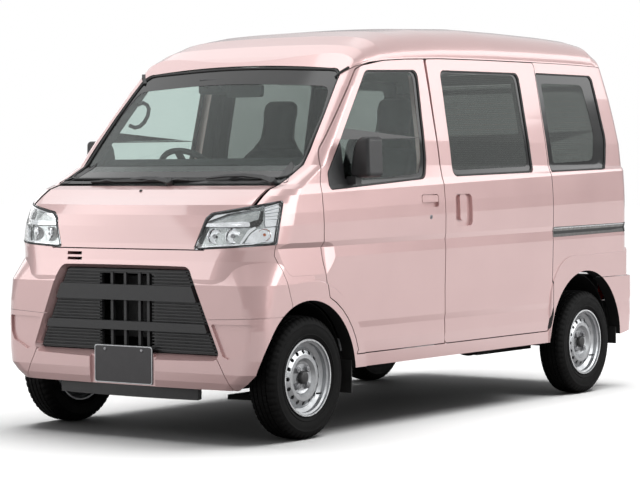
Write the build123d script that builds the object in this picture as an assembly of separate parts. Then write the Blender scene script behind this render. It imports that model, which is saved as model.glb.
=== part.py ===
from build123d import *
import math
import os

# A small one-box van with a high roof, in millimetres, right-hand drive.
# +X is the van's left, -Y its front, +Z up. While the pieces are made, Y is
# measured from the front axle; writeNode moves them to the middle of the length.

# Driving dimensions
LENGTH = 3395
WHEELBASE = 2450
FRONT_OVERHANG = 405
HALF_TRACK = 652.5
TYRE_R = 267
TYRE_W = 145
RIM_R = 168
WALL = 56            # side wall and door thickness
GLASS_IN = 9         # glass face below the body surface
GLASS_T = 4
GAP = 5              # shut gap round moving panels
SEAM = 3             # seam between fixed panels
FULL_WIDTH = 1475    # without mirrors
FLARE = 106          # width of the raised bands round the wheel arches, at their root
FLARE_ROOT = 712     # where the bands' sloping edges start, from the middle
FLARE_SLOPE = 40
SILL_Z = 350         # lower edge of the doors
SILL_BOTTOM = 288
FLOOR_Z = 440        # cab floor, top face
LOAD_Z = 665         # load floor, top face
LOAD_END = 2842
FRONT_SHUT = 98      # front door's leading edge
B_LINE = 1074        # shut line between front and sliding door
C_LINE = 2086        # sliding door's rear shut line

MIDDLE = LENGTH / 2 - FRONT_OVERHANG     # middle of the length, from the front axle


def writeNode(name, shape):
    solids = ShapeList(shape.solids())
    moved = Pos(0, -MIDDLE, 0) * (Compound(children=list(solids)) if len(solids) > 1 else solids[0])
    export_step(moved, "parts/" + name + ".step")
    print(name, len(solids), round(sum(s.volume for s in solids) / 1e6, 2), "litres")


def mirrored(shape):
    return mirror(shape, about=Plane.YZ)


def both(shape):
    return Compound(children=[*shape.solids(), *mirrored(shape).solids()])


def joined(shapes):
    return Compound(children=[s for shape in shapes for s in shape.solids()])


def block(x0, x1, y0, y1, z0, z1):
    return Pos((x0 + x1) / 2, (y0 + y1) / 2, (z0 + z1) / 2) * Box(x1 - x0, y1 - y0, z1 - z0)


def rod(start, end, radius):
    a, b = Vector(*start), Vector(*end)
    return Solid.make_cylinder(radius, (b - a).length, Plane(origin=a, z_dir=b - a))


# --- outer surface -----------------------------------------------------------
# Plan sections by height: half width, then the front's centre, its edge at the
# side and corner radius, the same three at the rear, and the rise per length
# of a section that climbs towards the rear, as the waist lines do.

def section(z, half, front, frontEdge, frontR, rear, rearEdge, rearR, rise=0, inset=0):
    x = half - inset
    f, fe = front + 1.3 * inset, frontEdge + 1.3 * inset
    r, re = rear - inset, rearEdge - inset
    outline = (ThreePointArc((-x, fe), (0, f), (x, fe)) + Line((x, fe), (x, re))
               + ThreePointArc((x, re), (0, r), (-x, re)) + Line((-x, re), (-x, fe)))
    face = make_face(outline)
    frontCorners = face.vertices().sort_by(Axis.Y)[:2]
    face = fillet(frontCorners, max(frontR - inset, 20))
    rearCorners = face.vertices().sort_by(Axis.Y)[-2:]
    face = fillet(rearCorners, max(rearR - inset, 15))
    return Pos(0, 0, z) * Rot(math.degrees(math.atan(rise)), 0, 0) * face


LEVELS = [
    (220, 724, -374, -338, 250, 2978, 2944, 70),
    (400, 729, -382, -348, 250, 2990, 2956, 70),
    (462, 728, -384, -354, 252, 2989, 2955, 70),
    (490, 731, -385, -358, 254, 2988, 2954, 70),
    (597, 731, -388, -366, 258, 2986, 2951, 70),
    (603, 731, -388, -366, 258, 2945, 2918, 80),
    (700, 733, -390, -372, 262, 2944, 2914, 80),
    (780, 735.5, -375, -354, 245, 2942, 2908, 80, 0.012),
    (828, 731, -368, -342, 216, 2941, 2906, 80, 0.012),
    (852, 736, -365, -336, 208, 2941, 2906, 80, 0.012),
    (930, 737, -360, -310, 205, 2940, 2906, 80, 0.025),
    (982, 734.5, -356, -277, 203, 2940, 2907, 80, 0.03),
    (1026, 730, -346, -240, 195, 2940, 2908, 80, 0.035),
    (1059, 727, -252, -205, 150, 2942, 2910, 80, 0.035),
    (1085, 721, -185, -160, 120, 2943, 2912, 80, 0.03),
    (1103, 717, -118, -85, 90, 2944, 2913, 80, 0.025),
    (1185, 706, 3, 98, 66, 2949, 2921, 80),
    (1300, 690, 107, 192, 64, 2950, 2926, 78),
    (1420, 669, 219, 294, 62, 2934, 2910, 75),
    (1540, 649, 335, 400, 60, 2908, 2884, 72),
    (1650, 629, 447, 504, 58, 2876, 2852, 70),
    (1750, 612, 548, 600, 58, 2842, 2820, 68),
    (1950, 580, 745, 790, 58, 2770, 2750, 60),
]
# The bumper's square-cornered lower part, up to the crease and the facet above it
CREASE_Z = 676
APRON = [
    (232, 728, -390, -352, 215), (262, 734, -395, -360, 165), (300, FULL_WIDTH / 2, -397, -365, 112),
    (360, FULL_WIDTH / 2, -397, -365, 95), (486, FULL_WIDTH / 2, -397, -365, 90),
    (580, FULL_WIDTH / 2, -397, -365, 100), (CREASE_Z, FULL_WIDTH / 2, -396, -365, 125),
    (842, 715, -330, -300, 230),
]
APRON_REAR = 40
ROOF_TOP = 1875
# Roof by length: crown height, drip line height
ROOF_LINE = [
    (-700, 1300, 1250), (250, 1560, 1500), (340, 1600, 1550), (437, 1650, 1607), (500, 1690, 1638), (600, 1746, 1660),
    (720, 1793, 1674), (900, 1826, 1687), (1200, 1853, 1701), (1600, ROOF_TOP - 2, 1710),
    (2000, ROOF_TOP, 1716), (2400, ROOF_TOP - 3, 1720), (2600, ROOF_TOP - 9, 1720),
    (2710, 1852, 1719), (2790, 1806, 1700), (2850, 1735, 1660), (2900, 1650, 1600), (2990, 1480, 1430),
]
DRIP_X = 613


def crownSection(y, top, drip, inset=0):
    t = top - inset
    x = DRIP_X - inset
    h = t - drip
    half = [(x - 12, 0.35), (x - 46, 0.63), (x - 112, 0.83), (370 - inset / 3, 0.945), (190, 0.987)]
    right = [(px, drip + h * f) for px, f in half]
    arch = [(x, drip)] + right + [(0, t)] + [(-px, pz) for px, pz in reversed(right)] + [(-x, drip)]
    edges = (Spline(*arch) + Polyline((-x, drip), (-900, drip), (-900, 100), (900, 100), (900, drip), (x, drip)))
    return Plane(origin=(0, y, 0), x_dir=(1, 0, 0), z_dir=(0, -1, 0)) * make_face(edges)


def wholeBody(inset=0):
    """The van's outer surface as a solid, every face moved in by the inset."""
    tower = loft([section(*level, inset=inset) for level in LEVELS], ruled=True)
    tower = tower & loft([crownSection(*line, inset=inset) for line in ROOF_LINE], ruled=True)
    rear = APRON_REAR + inset
    apron = [section(*level, rear + 20, rear, 15, inset=inset) for level in APRON]
    return tower + loft(apron, ruled=True)


# --- outlines and cutters ----------------------------------------------------

def outline(corners):
    """A closed face through (a, b, radius) corners, each rounded by its radius."""
    count = len(corners)
    points = [Vector(c[0], c[1], 0) for c in corners]
    ends = []
    for i, corner in enumerate(corners):
        here = points[i]
        if corner[2] == 0:
            ends.append((here, here, None))
            continue
        back = (points[i - 1] - here).normalized()
        ahead = (points[(i + 1) % count] - here).normalized()
        half = math.radians(back.get_angle(ahead)) / 2
        reach = corner[2] / math.tan(half)
        centre = here + (back + ahead).normalized() * (corner[2] / math.sin(half))
        middle = centre + (here - centre).normalized() * corner[2]
        ends.append((here + back * reach, here + ahead * reach, middle))
    edges = []
    for i, (start, finish, middle) in enumerate(ends):
        if middle is not None:
            edges.append(ThreePointArc(start, middle, finish))
        edges.append(Line(finish, ends[(i + 1) % count][0]))
    return make_face(edges)


def grown(face, amount):
    return offset(face, amount) if amount else face


def alongX(face, x0, x1):
    """A (y, z) face as a prism between two x."""
    return Pos(x0, 0, 0) * extrude(Plane.YZ * face, x1 - x0)


def alongY(face, y0, y1):
    """An (x, z) face as a prism between two y."""
    return extrude(Plane(origin=(0, y1, 0), x_dir=(1, 0, 0), z_dir=(0, -1, 0)) * face, y1 - y0)


DRIP_LAP = 6
ROOF_EDGE = [(y, drip - DRIP_LAP) for y, top, drip in ROOF_LINE if 430 < y < 2750]


def roofZone(grow=0):
    low = [(150, ROOF_EDGE[0][1] - grow)] + [(y, z - grow) for y, z in ROOF_EDGE] + [(3100, 1706 - grow)]
    return alongX(make_face(Polyline(*low, (3100, 2100), (150, 2100), close=True)), -1000, 1000)


def underRoof(y, gap=GAP):
    for (y0, z0), (y1, z1) in zip(ROOF_EDGE, ROOF_EDGE[1:]):
        if y0 <= y <= y1:
            return z0 + (z1 - z0) * (y - y0) / (y1 - y0) - gap
    return ROOF_EDGE[-1][1] - gap


def archPoints(where, grow, start, end, count):
    """Corners along a circle round the wheel, from one angle to another in degrees."""
    y, z, r = where
    steps = [math.radians(start + (end - start) * i / (count - 1)) for i in range(count)]
    return [(y + (r + grow) * math.cos(a), z + (r + grow) * math.sin(a), 0) for a in steps]


ARCH_FRONT = (-8, 262, 340)
ARCH_REAR = (2432, 268, 372)
DOOR_ARCH = 38       # body flange left between the front arch and the door
FRONT_DOOR = [
    (B_LINE, SILL_Z, 0), (B_LINE, underRoof(B_LINE), 22), (900, underRoof(900), 0), (720, underRoof(720), 0),
    (545, underRoof(545) - 2, 40), (497, 1618, 60), (139, 1236, 190), (FRONT_SHUT, 1110, 120),
    (FRONT_SHUT + 2, 780, 260), *archPoints(ARCH_FRONT, DOOR_ARCH, 67, 16, 7), (345, SILL_Z, 0),
]
SLIDING_DOOR = [
    (B_LINE, SILL_Z, 25), (2052, SILL_Z, 30), (C_LINE, 432, 40), (C_LINE, underRoof(C_LINE), 22),
    (1600, underRoof(1600), 0), (1200, underRoof(1200), 0), (B_LINE, underRoof(B_LINE), 22),
]
FRONT_WINDOW = [
    (160, 1074, 22), (930, 1121, 45), (962, 1200, 150), (992, 1632, 34), (560, 1616, 60), (157, 1150, 30),
]
SLIDING_WINDOW = [(1175, 1131, 35), (1932, 1150, 35), (1920, 1650, 38), (1186, 1638, 38)]
QUARTER_WINDOW = [
    (2100, 1152, 12), (2690, 1166, 60), (2738, 1330, 160), (2682, 1662, 40), (2092, 1657, 12),
]


def arch(where, grow=0, x0=430, x1=800):
    y, z, r = where
    return Pos(x0, y, z) * extrude(Plane.YZ * Circle(r + grow), x1 - x0)


def windscreenFace(grow=0):
    side = [(640 + grow, 1122 - grow), (634 + grow, 1250), (611 + grow, 1420), (580 + grow, 1590)]
    top = ThreePointArc((580 + grow, 1590), (556 + grow, 1614 + grow), (520, 1622 + grow))
    crown = ThreePointArc((520, 1622 + grow), (0, 1645 + grow), (-520, 1622 + grow))
    half = Polyline(*side) + top
    other = Polyline(*[(-x, z) for x, z in side]) + ThreePointArc(
        (-580 - grow, 1590), (-556 - grow, 1614 + grow), (-520, 1622 + grow))
    return make_face(half + crown + other + Line((-640 - grow, 1122 - grow), (640 + grow, 1122 - grow)))


LAMP_AXIS = 36       # the lamp faces this far outboard of straight ahead
LAMP_POINT = (620, -300)
LAMP_FACE = [(-231, 825, 8), (127, 848, 8), (154, 1033, 9), (-150, 981, 22), (-176, 960, 22)]


def lampPrism(grow=0, depth=(-260, 260)):
    turn = math.radians(LAMP_AXIS)
    out = Vector(math.sin(turn), -math.cos(turn), 0)
    base = Plane(origin=Vector(LAMP_POINT[0], LAMP_POINT[1], 0) + out * depth[0],
                 x_dir=(math.cos(turn), math.sin(turn), 0), z_dir=out)
    return extrude(base * grown(outline(LAMP_FACE), grow), depth[1] - depth[0])


BONNET_SIDE = 619
BONNET_REAR_Z = 1096
BONNET_LOW_Z = 826
UNDER_LAMP = 430     # the bumper rises to the headlamps outboard of this


def bonnetZone(grow=0):
    return block(-BONNET_SIDE - grow, BONNET_SIDE + grow, -700, 0, BONNET_LOW_Z - grow, BONNET_REAR_Z + grow)


BUMPER_SEAM = [(-226, 850), (-231, 800), (-204, 749), (-176, 693), (-154, 632), (-138, 590), (-138, 150)]


def bumperZone(grow=0):
    edge = [(y + grow, z) for y, z in BUMPER_SEAM]
    return alongX(make_face(Polyline((-700, 150), (-700, 850 + grow), *edge, close=True)), -1000, 1000)


PLATE_Y = -380       # back of the front number plate, in its recess in the bumper
RECESS = [(-186, 200, 0), (186, 200, 0), (186, 412, 10), (-186, 412, 10)]
PLINTH = [(-170, 230, 8), (170, 230, 8), (170, 404, 8), (-170, 404, 8)]
FOG_PANEL = [(574, 364, 8), (662, 404, 24), (686, 440, 24), (690, 514, 6), (488, 511, 6), (548, 376, 8)]
LOWER_SEAM = [(452, 528), (780, 541.5), (780, 544), (452, 530.5)]
CORNER_SEAM = [(512, 372), (594, 226), (597, 226), (515, 374)]
COOLING_SLOTS = [(-337, -251, 794, 808), (-334, -248, 771, 784)]
REAR_BUMPER_TOP = 598
REAR_BUMPER_Y = 2500
TAILGATE = [(-655, 607, 30), (655, 607, 30), (655, 1060, 200), (560, 1697, 60), (-560, 1697, 60), (-655, 1060, 200)]
TAILGATE_PIN = (2877, 1703)
REAR_WINDOW = [
    (-560, 1105, 60), (560, 1105, 60), (520, 1640, 60), (-520, 1640, 60),
]
GRILLE = [(-514, 375, 12), (514, 375, 12), (352, 738, 26), (-352, 738, 26)]
BEVEL = 30           # painted bevel round the grille opening
BEVEL_Y = (-350, -402)
RAIL_START = C_LINE + GAP + 2
RAIL = [(RAIL_START, 822, 6), (2874, 835, 6), (2874, 882, 6), (RAIL_START, 873, 6)]
DOOR_PULL = [(877, 991, 14), (1020, 991, 14), (1020, 1050, 14), (877, 1050, 14)]
DOOR_FLAP = [(881, 1014, 3), (1016, 1014, 3), (1016, 1046, 12), (881, 1046, 12)]
SLIDE_PULL = [(1164, 898, 24), (1315, 898, 24), (1312, 1049, 24), (1166, 1049, 24)]
SLIDE_FLAP = [(1204, 924, 20), (1262, 924, 20), (1262, 1045, 12), (1204, 1045, 12)]
PULL_DEPTH = 16


# --- body shell --------------------------------------------------------------

def largest(shape):
    return max(shape.solids(), key=lambda s: s.volume)


def acrossY(y, corners):
    """An (x, z) face through the corners, standing at one y."""
    return Plane(origin=(0, y, 0), x_dir=(1, 0, 0), z_dir=(0, -1, 0)) * make_face(Polyline(*corners, close=True))


def flareBand(face):
    """A band with sloping edges, out to the full width."""
    return extrude(Plane.YZ.offset(FLARE_ROOT) * face, FULL_WIDTH / 2 - FLARE_ROOT, taper=FLARE_SLOPE)


def makeFlares():
    """Raised bands round the wheel arches; the rear one runs on to the tailgate."""
    y, z, r = ARCH_FRONT
    front = flareBand(Pos(y, z) * Circle(r + FLARE)) & block(600, 900, -200, 600, 240, 800)
    rear = flareBand(outline([(2044, 200, 0), (2044, 738, 255), (3000, 750, 0), (3000, 200, 0)]))
    return both(front), both(rear & wholeBody(-9) & block(600, 900, 2000, 3100, 240, 800))


def makeScoop():
    """What the front wing's facet takes off, left: level with the crease, running out on the door."""
    edge = [(738.2, CREASE_Z), (717.5, 828), (737.5, 853), (770, 853), (770, CREASE_Z)]
    end = [(741, 742), (740, 829), (741, 853), (770, 853), (770, 742)]
    return loft([acrossY(-450, edge), acrossY(120, edge), acrossY(215, end)], ruled=True)


def makeOuter():
    """The outer surface with the arch bands and the wing facets."""
    front, rear = makeFlares()
    scoop = makeScoop()
    return wholeBody() + front + rear - scoop - mirrored(scoop)


def makeRoof(shell):
    roof = shell & roofZone()
    return roof - alongY(windscreenFace(SEAM), -300, 640)


def makeSide(shell, railBed):
    """Left body side: front wing, pillars, sill and rear quarter."""
    side = shell & block(0, 1000, -500, 3200, SILL_BOTTOM, 1760)
    side = side - roofZone(SEAM) - bumperZone(SEAM)
    side = side - bonnetZone(GAP) - lampPrism(2)
    side = side - alongY(windscreenFace(SEAM), -500, 640)
    side = side - block(-1, 640, -500, 300, 200, 1122)
    side = side - alongX(grown(outline(FRONT_DOOR), GAP), 300, 900)
    side = side - alongX(grown(outline(SLIDING_DOOR), GAP), 300, 900)
    side = side - alongX(outline(QUARTER_WINDOW), 300, 900)
    side = side - arch(ARCH_FRONT) - arch(ARCH_REAR)
    side = side - alongY(grown(outline(TAILGATE), GAP), 2700, 3200)
    side = side - block(0, 1000, REAR_BUMPER_Y, 3200, 100, REAR_BUMPER_TOP + SEAM)
    side = side - block(-1, 650, 2700, 3200, 500, 650)
    return largest(side - (railBed & alongX(grown(outline(RAIL), 1), 300, 900)))


def makeFrontDoor(shell, skin):
    door = shell & alongX(outline(FRONT_DOOR), 300, 900)
    door = door - alongX(outline(FRONT_WINDOW), 300, 900) - alongY(windscreenFace(4), -500, 700)
    door = door - (skin & (alongX(outline(DOOR_PULL), 600, 900) - alongX(outline(DOOR_FLAP), 600, 900)))
    taper = Pos(735, B_LINE, 1000) * Rot(0, 0, 8) * block(-120, 30, 0, 40, -800, 800)
    return largest(door - taper)


def makeSlidingDoor(shell, skin):
    door = shell & alongX(outline(SLIDING_DOOR), 300, 900)
    door = door - (skin & (alongX(outline(SLIDE_PULL), 600, 900) - alongX(outline(SLIDE_FLAP), 600, 900)))
    door = door - block(0, 900, 1000, B_LINE + GAP, 0, 2000)
    return largest(door - alongX(outline(SLIDING_WINDOW), 300, 900) - arch(ARCH_REAR, 28))


def makeBonnet(outer, thin):
    panel = (outer & bonnetZone()) - thin
    for side in (-1, 1):
        low, high = sorted((side * UNDER_LAMP, side * 900))
        panel = panel - block(low, high, -700, 0, 0, 856)
    return largest(panel - lampPrism(2) - mirrored(lampPrism(2)) - block(-800, 800, -130, 100, 0, 1060))


def makeBumper(shell, fogSkin):
    bumper = shell & bumperZone() & block(-1000, 1000, -600, 0, 232, 850)
    tunnel = arch(ARCH_FRONT, 0, ARCH_INNER)
    above = bonnetZone(GAP) & block(-UNDER_LAMP - GAP, UNDER_LAMP + GAP, -800, 100, 0, 2000)
    for prism in (lampPrism(2), mirrored(lampPrism(2)), above, tunnel, mirrored(tunnel)):
        bumper = bumper - prism
    bumper = bumper - alongY(outline(GRILLE), -700, -200)
    faces = (outline(GRILLE), grown(outline(GRILLE), BEVEL))
    bevel = loft([Plane(origin=(0, y, 0), x_dir=(1, 0, 0), z_dir=(0, -1, 0)) * face
                  for y, face in zip(BEVEL_Y, faces)], ruled=True)
    bumper = bumper - bevel - alongY(outline(RECESS), -600, PLATE_Y)
    bumper = bumper + (alongY(outline(PLINTH), PLATE_Y, -350) & block(-300, 300, -500, -300, 232, 371))
    for x0, x1, z0, z1 in COOLING_SLOTS:
        bumper = bumper - block(x0, x1, -500, -260, z0, z1)
    seams = [make_face(Polyline(*seam, close=True)) for seam in (LOWER_SEAM, CORNER_SEAM)]
    for face in (outline(FOG_PANEL), *seams):
        pocket = fogSkin & alongY(face, -700, -180)
        bumper = bumper - pocket - mirrored(pocket)
    return largest(bumper)


def makeRearBumper(shell):
    """Rear bumper, its lower edge rising towards the back."""
    bumper = shell & block(-1000, 1000, REAR_BUMPER_Y, 3100, 230, REAR_BUMPER_TOP)
    below = outline([(2600, 150, 0), (3100, 150, 0), (3100, 350, 0), (2960, 312, 30), (2810, 289, 0), (2600, 289, 0)])
    bumper = bumper - alongX(below, -1000, 1000)
    bumper = bumper - arch(ARCH_REAR) - mirrored(arch(ARCH_REAR))
    return largest(bumper - lampPocket() - mirrored(lampPocket()))


def lampPocket(grow=0):
    return alongY(grown(outline([(538, 458, 12), (690, 458, 12), (690, 588, 12), (538, 588, 12)]), grow), 2860, 3100)


def makeTailgate(shell):
    gate = shell & alongY(outline(TAILGATE), 2700, 3100)
    gate = gate - alongY(outline(REAR_WINDOW), 2500, 3100)
    y, z = TAILGATE_PIN
    for x in (-430, 430):
        leaf = block(x - 25, x + 25, y - 45, y + 4, z - 12, z - 6)
        gate = gate + leaf + rod((x - 30, y, z), (x + 30, y, z), 8)
    return largest(gate)


def makeCowl(outer, inner):
    """Black strip between the bonnet and the windscreen."""
    return largest((outer - inner) & block(-632, 632, -300, 300, 1106, 1118))


def makeLip():
    """Black chin below the bumper."""
    front = ThreePointArc((-392, -352), (0, -380), (392, -352))
    face = make_face(front + Polyline((392, -352), (370, -300), (-370, -300), (-392, -352)))
    return Pos(0, 0, 181) * extrude(face, 50)


def makeFlaps():
    front = block(596, 722, 319, 324, 175, 321)
    rear = block(596, 722, 2777, 2782, 238, 327)
    return both(joined([front, rear]))


def makePillars(inside, further):
    """Posts between the front and sliding doors, from the floor to the roof."""
    return both(largest((inside - further) & block(300, 900, B_LINE - 28, B_LINE + 36, 704, 1780)))


def makeInteriorMirror():
    glass = alongY(outline([(-40, 1500, 16), (162, 1500, 16), (168, 1558, 16), (-34, 1562, 16)]), 400, 424)
    return largest(glass + block(52, 76, 412, 436, 1555, 1596))


def makeRearPlate():
    return alongY(outline([(-165, 812, 10), (165, 812, 10), (165, 977, 10), (-165, 977, 10)]), 2943, 2946.5)


def makeColumn(radius=30):
    """Steering column from behind the wheel's hub down to the dashboard."""
    tilt = math.radians(-STEER_TILT)
    x, y, z = STEER_POINT
    ends = [(x, y - d * math.sin(tilt), z - d * math.cos(tilt)) for d in (40, 200)]
    return rod(*ends, radius)


def sidePane(glass, face):
    return largest(glass & alongX(face, 300, 900))


def makeLamps(shell, outer, outer4, inner):
    prism = lampPrism(0, (-200, 260))
    core = lampPrism(-3, (-260, 260))
    lens = largest((outer & prism) - outer4)
    tub = largest((outer4 & prism) - inner)
    hollow = largest((outer4 & core) - inner)
    back = largest(wholeBody(WALL - 6) & core) - inner
    return lens, tub - (hollow - back)


# --- glass and lamps ---------------------------------------------------------

def makeWindscreen(glass):
    return largest(glass & alongY(windscreenFace(-2), -600, 1000))


def makeRearLamps():
    lamp = alongY(outline([(540, 460, 10), (688, 460, 10), (688, 586, 10), (540, 586, 10)]), 2915, 2966)
    return both(lamp)


def makeGrille():
    """Dark back panel with thin ribs, two thick bars and upright members."""
    slab = alongY(outline([(-510, 379, 10), (510, 379, 10), (348, 734, 24), (-348, 734, 24)]), -350, -334)
    mouth = alongY(outline([(-150, 400, 8), (150, 400, 8), (150, 716, 8), (-150, 716, 8)]), -400, -300)
    back = slab - mouth
    ribs = alongY(outline([(-498, 384, 6), (498, 384, 6), (341, 729, 18), (-341, 729, 18)]), -364, -348)
    rows = joined([block(-520, 520, -370, -345, z, z + 5) for z in range(388, 729, 14)])
    back = back + ((ribs - mouth) & rows)
    for x in (-96, -20, 62, 112):
        back = back + block(x, x + 14, -354, -338, 396, 720)
    bars = [outline([(-402, 600, 6), (402, 600, 6), (373, 667, 6), (-373, 667, 6)]),
            outline([(-461, 470, 6), (461, 470, 6), (445, 508, 6), (-445, 508, 6)])]
    for bar in bars:
        back = back + alongY(bar, -374, -340)
    return largest(back)


def makePlate():
    return alongY(outline([(-165, 237, 10), (165, 237, 10), (165, 402, 10), (-165, 402, 10)]), PLATE_Y - 4, PLATE_Y - 0.5)


# --- cab and load space ------------------------------------------------------

ARCH_INNER = 405      # inner face of the wheel housings


def makeFloor():
    """Footwell, seat deck and load floor as one pressed pan with its rails below."""
    half = 662
    floor = block(-ARCH_INNER + 8, ARCH_INNER - 8, -60, 372, FLOOR_Z - 30, FLOOR_Z)
    floor = floor + block(-half, half, 372, 430, FLOOR_Z - 30, FLOOR_Z)
    floor = floor + block(-half, half, 430, 460, FLOOR_Z - 30, 700) + block(-half, half, 430, 1170, 670, 700)
    floor = floor + block(-half, half, 1140, 1170, LOAD_Z - 30, 700) + block(-half, half, 1140, LOAD_END, LOAD_Z - 30, LOAD_Z)
    for side in (-1, 1):
        low, high = sorted((side * 330, side * 390))
        floor = floor + block(low, high, 430, LOAD_END, LOAD_Z - 90, LOAD_Z - 30)
        floor = floor + block(low, high, -300, 460, FLOOR_Z - 70, FLOOR_Z - 30)
        low, high = sorted((side * 560, side * half))
        floor = floor + block(low, high, 620, 2040, LOAD_Z - 60, LOAD_Z - 30)
    for y in (1180, 1900, 2790):
        floor = floor + block(-390, 390, y, y + 50, LOAD_Z - 80, LOAD_Z - 30)
    floor = floor - block(-half, half, 2136, 2142, LOAD_Z - 4, LOAD_Z + 1)
    return largest(floor - arch(ARCH_REAR, 4, 404) - mirrored(arch(ARCH_REAR, 4, 404)))


def makeBulkhead():
    upper = block(-620, 620, -75, -55, 640, 1080)
    lower = block(-ARCH_INNER + 8, ARCH_INNER - 8, -75, -55, FLOOR_Z + 2, 640)
    return largest(upper + lower)


def makeDashboard():
    face = outline([(20, 1000, 20), (20, 1095, 20), (100, 1125, 30), (235, 1218, 50), (345, 1214, 40),
                    (385, 1010, 50), (300, 800, 60), (240, 790, 20), (200, 960, 30)])
    dash = alongX(face, -602, 602)
    centre = alongX(outline([(100, 760, 20), (310, 600, 30), (380, 1010, 40), (120, 1060, 20)]), -120, 120)
    return largest(dash + centre - makeColumn(33))


SEAT_X = 345


def seatPair():
    seats = []
    for x in (-SEAT_X, SEAT_X):
        base = alongX(outline([(590, 705, 15), (1130, 705, 15), (1130, 800, 25), (1060, 835, 30), (605, 860, 45)]),
                      x - 240, x + 240)
        back = alongX(outline([(1040, 800, 30), (1130, 800, 30), (1215, 1180, 60), (1285, 1545, 30), (1210, 1545, 40),
                               (1115, 1180, 60)]), x - 230, x + 230)
        front = alongY(outline([(x - 230, 700, 10), (x + 230, 700, 10), (x + 230, 1235, 90), (x + 118, 1320, 90),
                                (x + 112, 1545, 62), (x - 112, 1545, 62), (x - 118, 1320, 90), (x - 230, 1235, 90)]),
                       900, 1400)
        seats.append(base + (back & front))
    return joined(seats)


def makeRearBench():
    cushion = block(-600, 600, 1620, 2060, 760, 880)
    cushion = fillet(cushion.edges().filter_by(Axis.X), 35)
    back = Pos(0, 2085, 1120) * Rot(-10, 0, 0) * Box(1200, 90, 520)
    back = fillet(back.edges().filter_by(Axis.X), 30)
    frame = block(-560, -520, 1650, 2100, LOAD_Z, 765) + block(520, 560, 1650, 2100, LOAD_Z, 765)
    return largest(cushion + back + frame)


def makeArchLiners(where, clear):
    """Wheel houses behind both arches: a curved cover and an inner wall."""
    y, z, r = where
    drum = Pos(ARCH_INNER + 5, y, z) * extrude(Plane.YZ * Circle(clear + 6), 255)
    drum = drum - Pos(ARCH_INNER + 11, y, z) * extrude(Plane.YZ * Circle(clear), 300)
    return both(drum & block(300, 800, y - 500, y + 500, z + 60, z + 600))


# --- running gear ------------------------------------------------------------

def lathe(profile):
    """Turn an (r, x) profile about the X axis."""
    face = Plane(origin=(0, 0, 0), x_dir=(0, 0, 1), z_dir=(0, 1, 0)) * make_face(Polyline(*profile, close=True))
    return revolve(face, Axis.X, 360)


def makeTyre():
    w, r, b = TYRE_W / 2, TYRE_R, RIM_R
    half = [(b, -w + 14), (b + 30, -w + 2), (b + 52, -w), (r - 22, -w + 6), (r - 6, -w + 16), (r, -w + 30)]
    other = [(a, -x) for a, x in reversed(half)]
    return lathe(half + other)


def makeRim():
    """Pressed steel wheel: drop-centre rim, dished disc with round holes, four nuts and a cap."""
    rim = lathe([(RIM_R - 1, -66), (RIM_R - 1, -54), (RIM_R - 12, -48), (RIM_R - 12, -30), (RIM_R - 30, -18),
                 (RIM_R - 30, 20), (RIM_R - 12, 32), (RIM_R - 12, 48), (RIM_R - 1, 54), (RIM_R - 1, 66),
                 (RIM_R - 8, 66), (RIM_R - 8, 57), (RIM_R - 16, 52), (RIM_R - 16, 33), (RIM_R - 34, 22),
                 (RIM_R - 34, -20), (RIM_R - 16, -33), (RIM_R - 16, -52), (RIM_R - 8, -57), (RIM_R - 8, -66)])
    disc = lathe([(RIM_R - 33, 14), (RIM_R - 33, 20), (118, 36), (100, 44), (84, 44), (70, 30), (58, 26), (30, 26), (30, 20),
                  (60, 20), (74, 24), (86, 38), (98, 38), (114, 30)])
    hole = Solid.make_cylinder(9, 80, Plane(origin=(0, 0, 112), z_dir=(1, 0, 0)))
    for i in range(16):
        disc = disc - Rot(360 / 16 * i, 0, 0) * hole
    hub = lathe([(0, 20), (48, 20), (48, 27), (27, 29), (27, 44), (24, 48), (0, 48)])
    wheel = rim + disc + hub
    for i in range(4):
        nut = Solid.make_cylinder(10, 24, Plane(origin=(18, 0, 50), z_dir=(1, 0, 0)))
        wheel = wheel + Rot(45 + 90 * i, 0, 0) * nut
    return largest(wheel)


def wheelAt(shape, side, y):
    turned = shape if side > 0 else mirrored(shape)
    return Pos(side * HALF_TRACK, y, TYRE_R) * turned


KINGPIN = 580        # steering axis from the middle


def makeKnuckle():
    """Upright with kingpin, brake disc, stub axle and steering arm, at the front left."""
    plate = block(568, 592, -45, 45, 190, 380)
    disc = Pos(600, 0, TYRE_R) * extrude(Plane.YZ * Circle(105), 10)
    stub = Pos(590, 0, TYRE_R) * extrude(Plane.YZ * Circle(40), 74)
    arm = block(556, 580, 20, 130, 236, 252)
    pin = Pos(KINGPIN, 0, 186) * extrude(Circle(17), 206)
    return largest(plate + disc + stub + arm + pin)


def makeSuspension():
    parts = [block(-299, 299, -60, 60, 300, 350)]
    for side in (-1, 1):
        arm = Polyline((side * 330, -70), (side * 556, -20), (side * 556, 20), (side * 330, 90), close=True)
        leg = block(*sorted((side * 300, side * 330)), -70, 90, 195, 330)
        strut = rod((side * 499, 5, 215), (side * 492, 14, 588), 22)
        spring = rod((side * 495, 10, 420), (side * 492, 14, 582), 46)
        parts.append(Pos(0, 0, 158) * extrude(make_face(arm), 22) + leg + strut + spring)
    return joined(parts)


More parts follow.
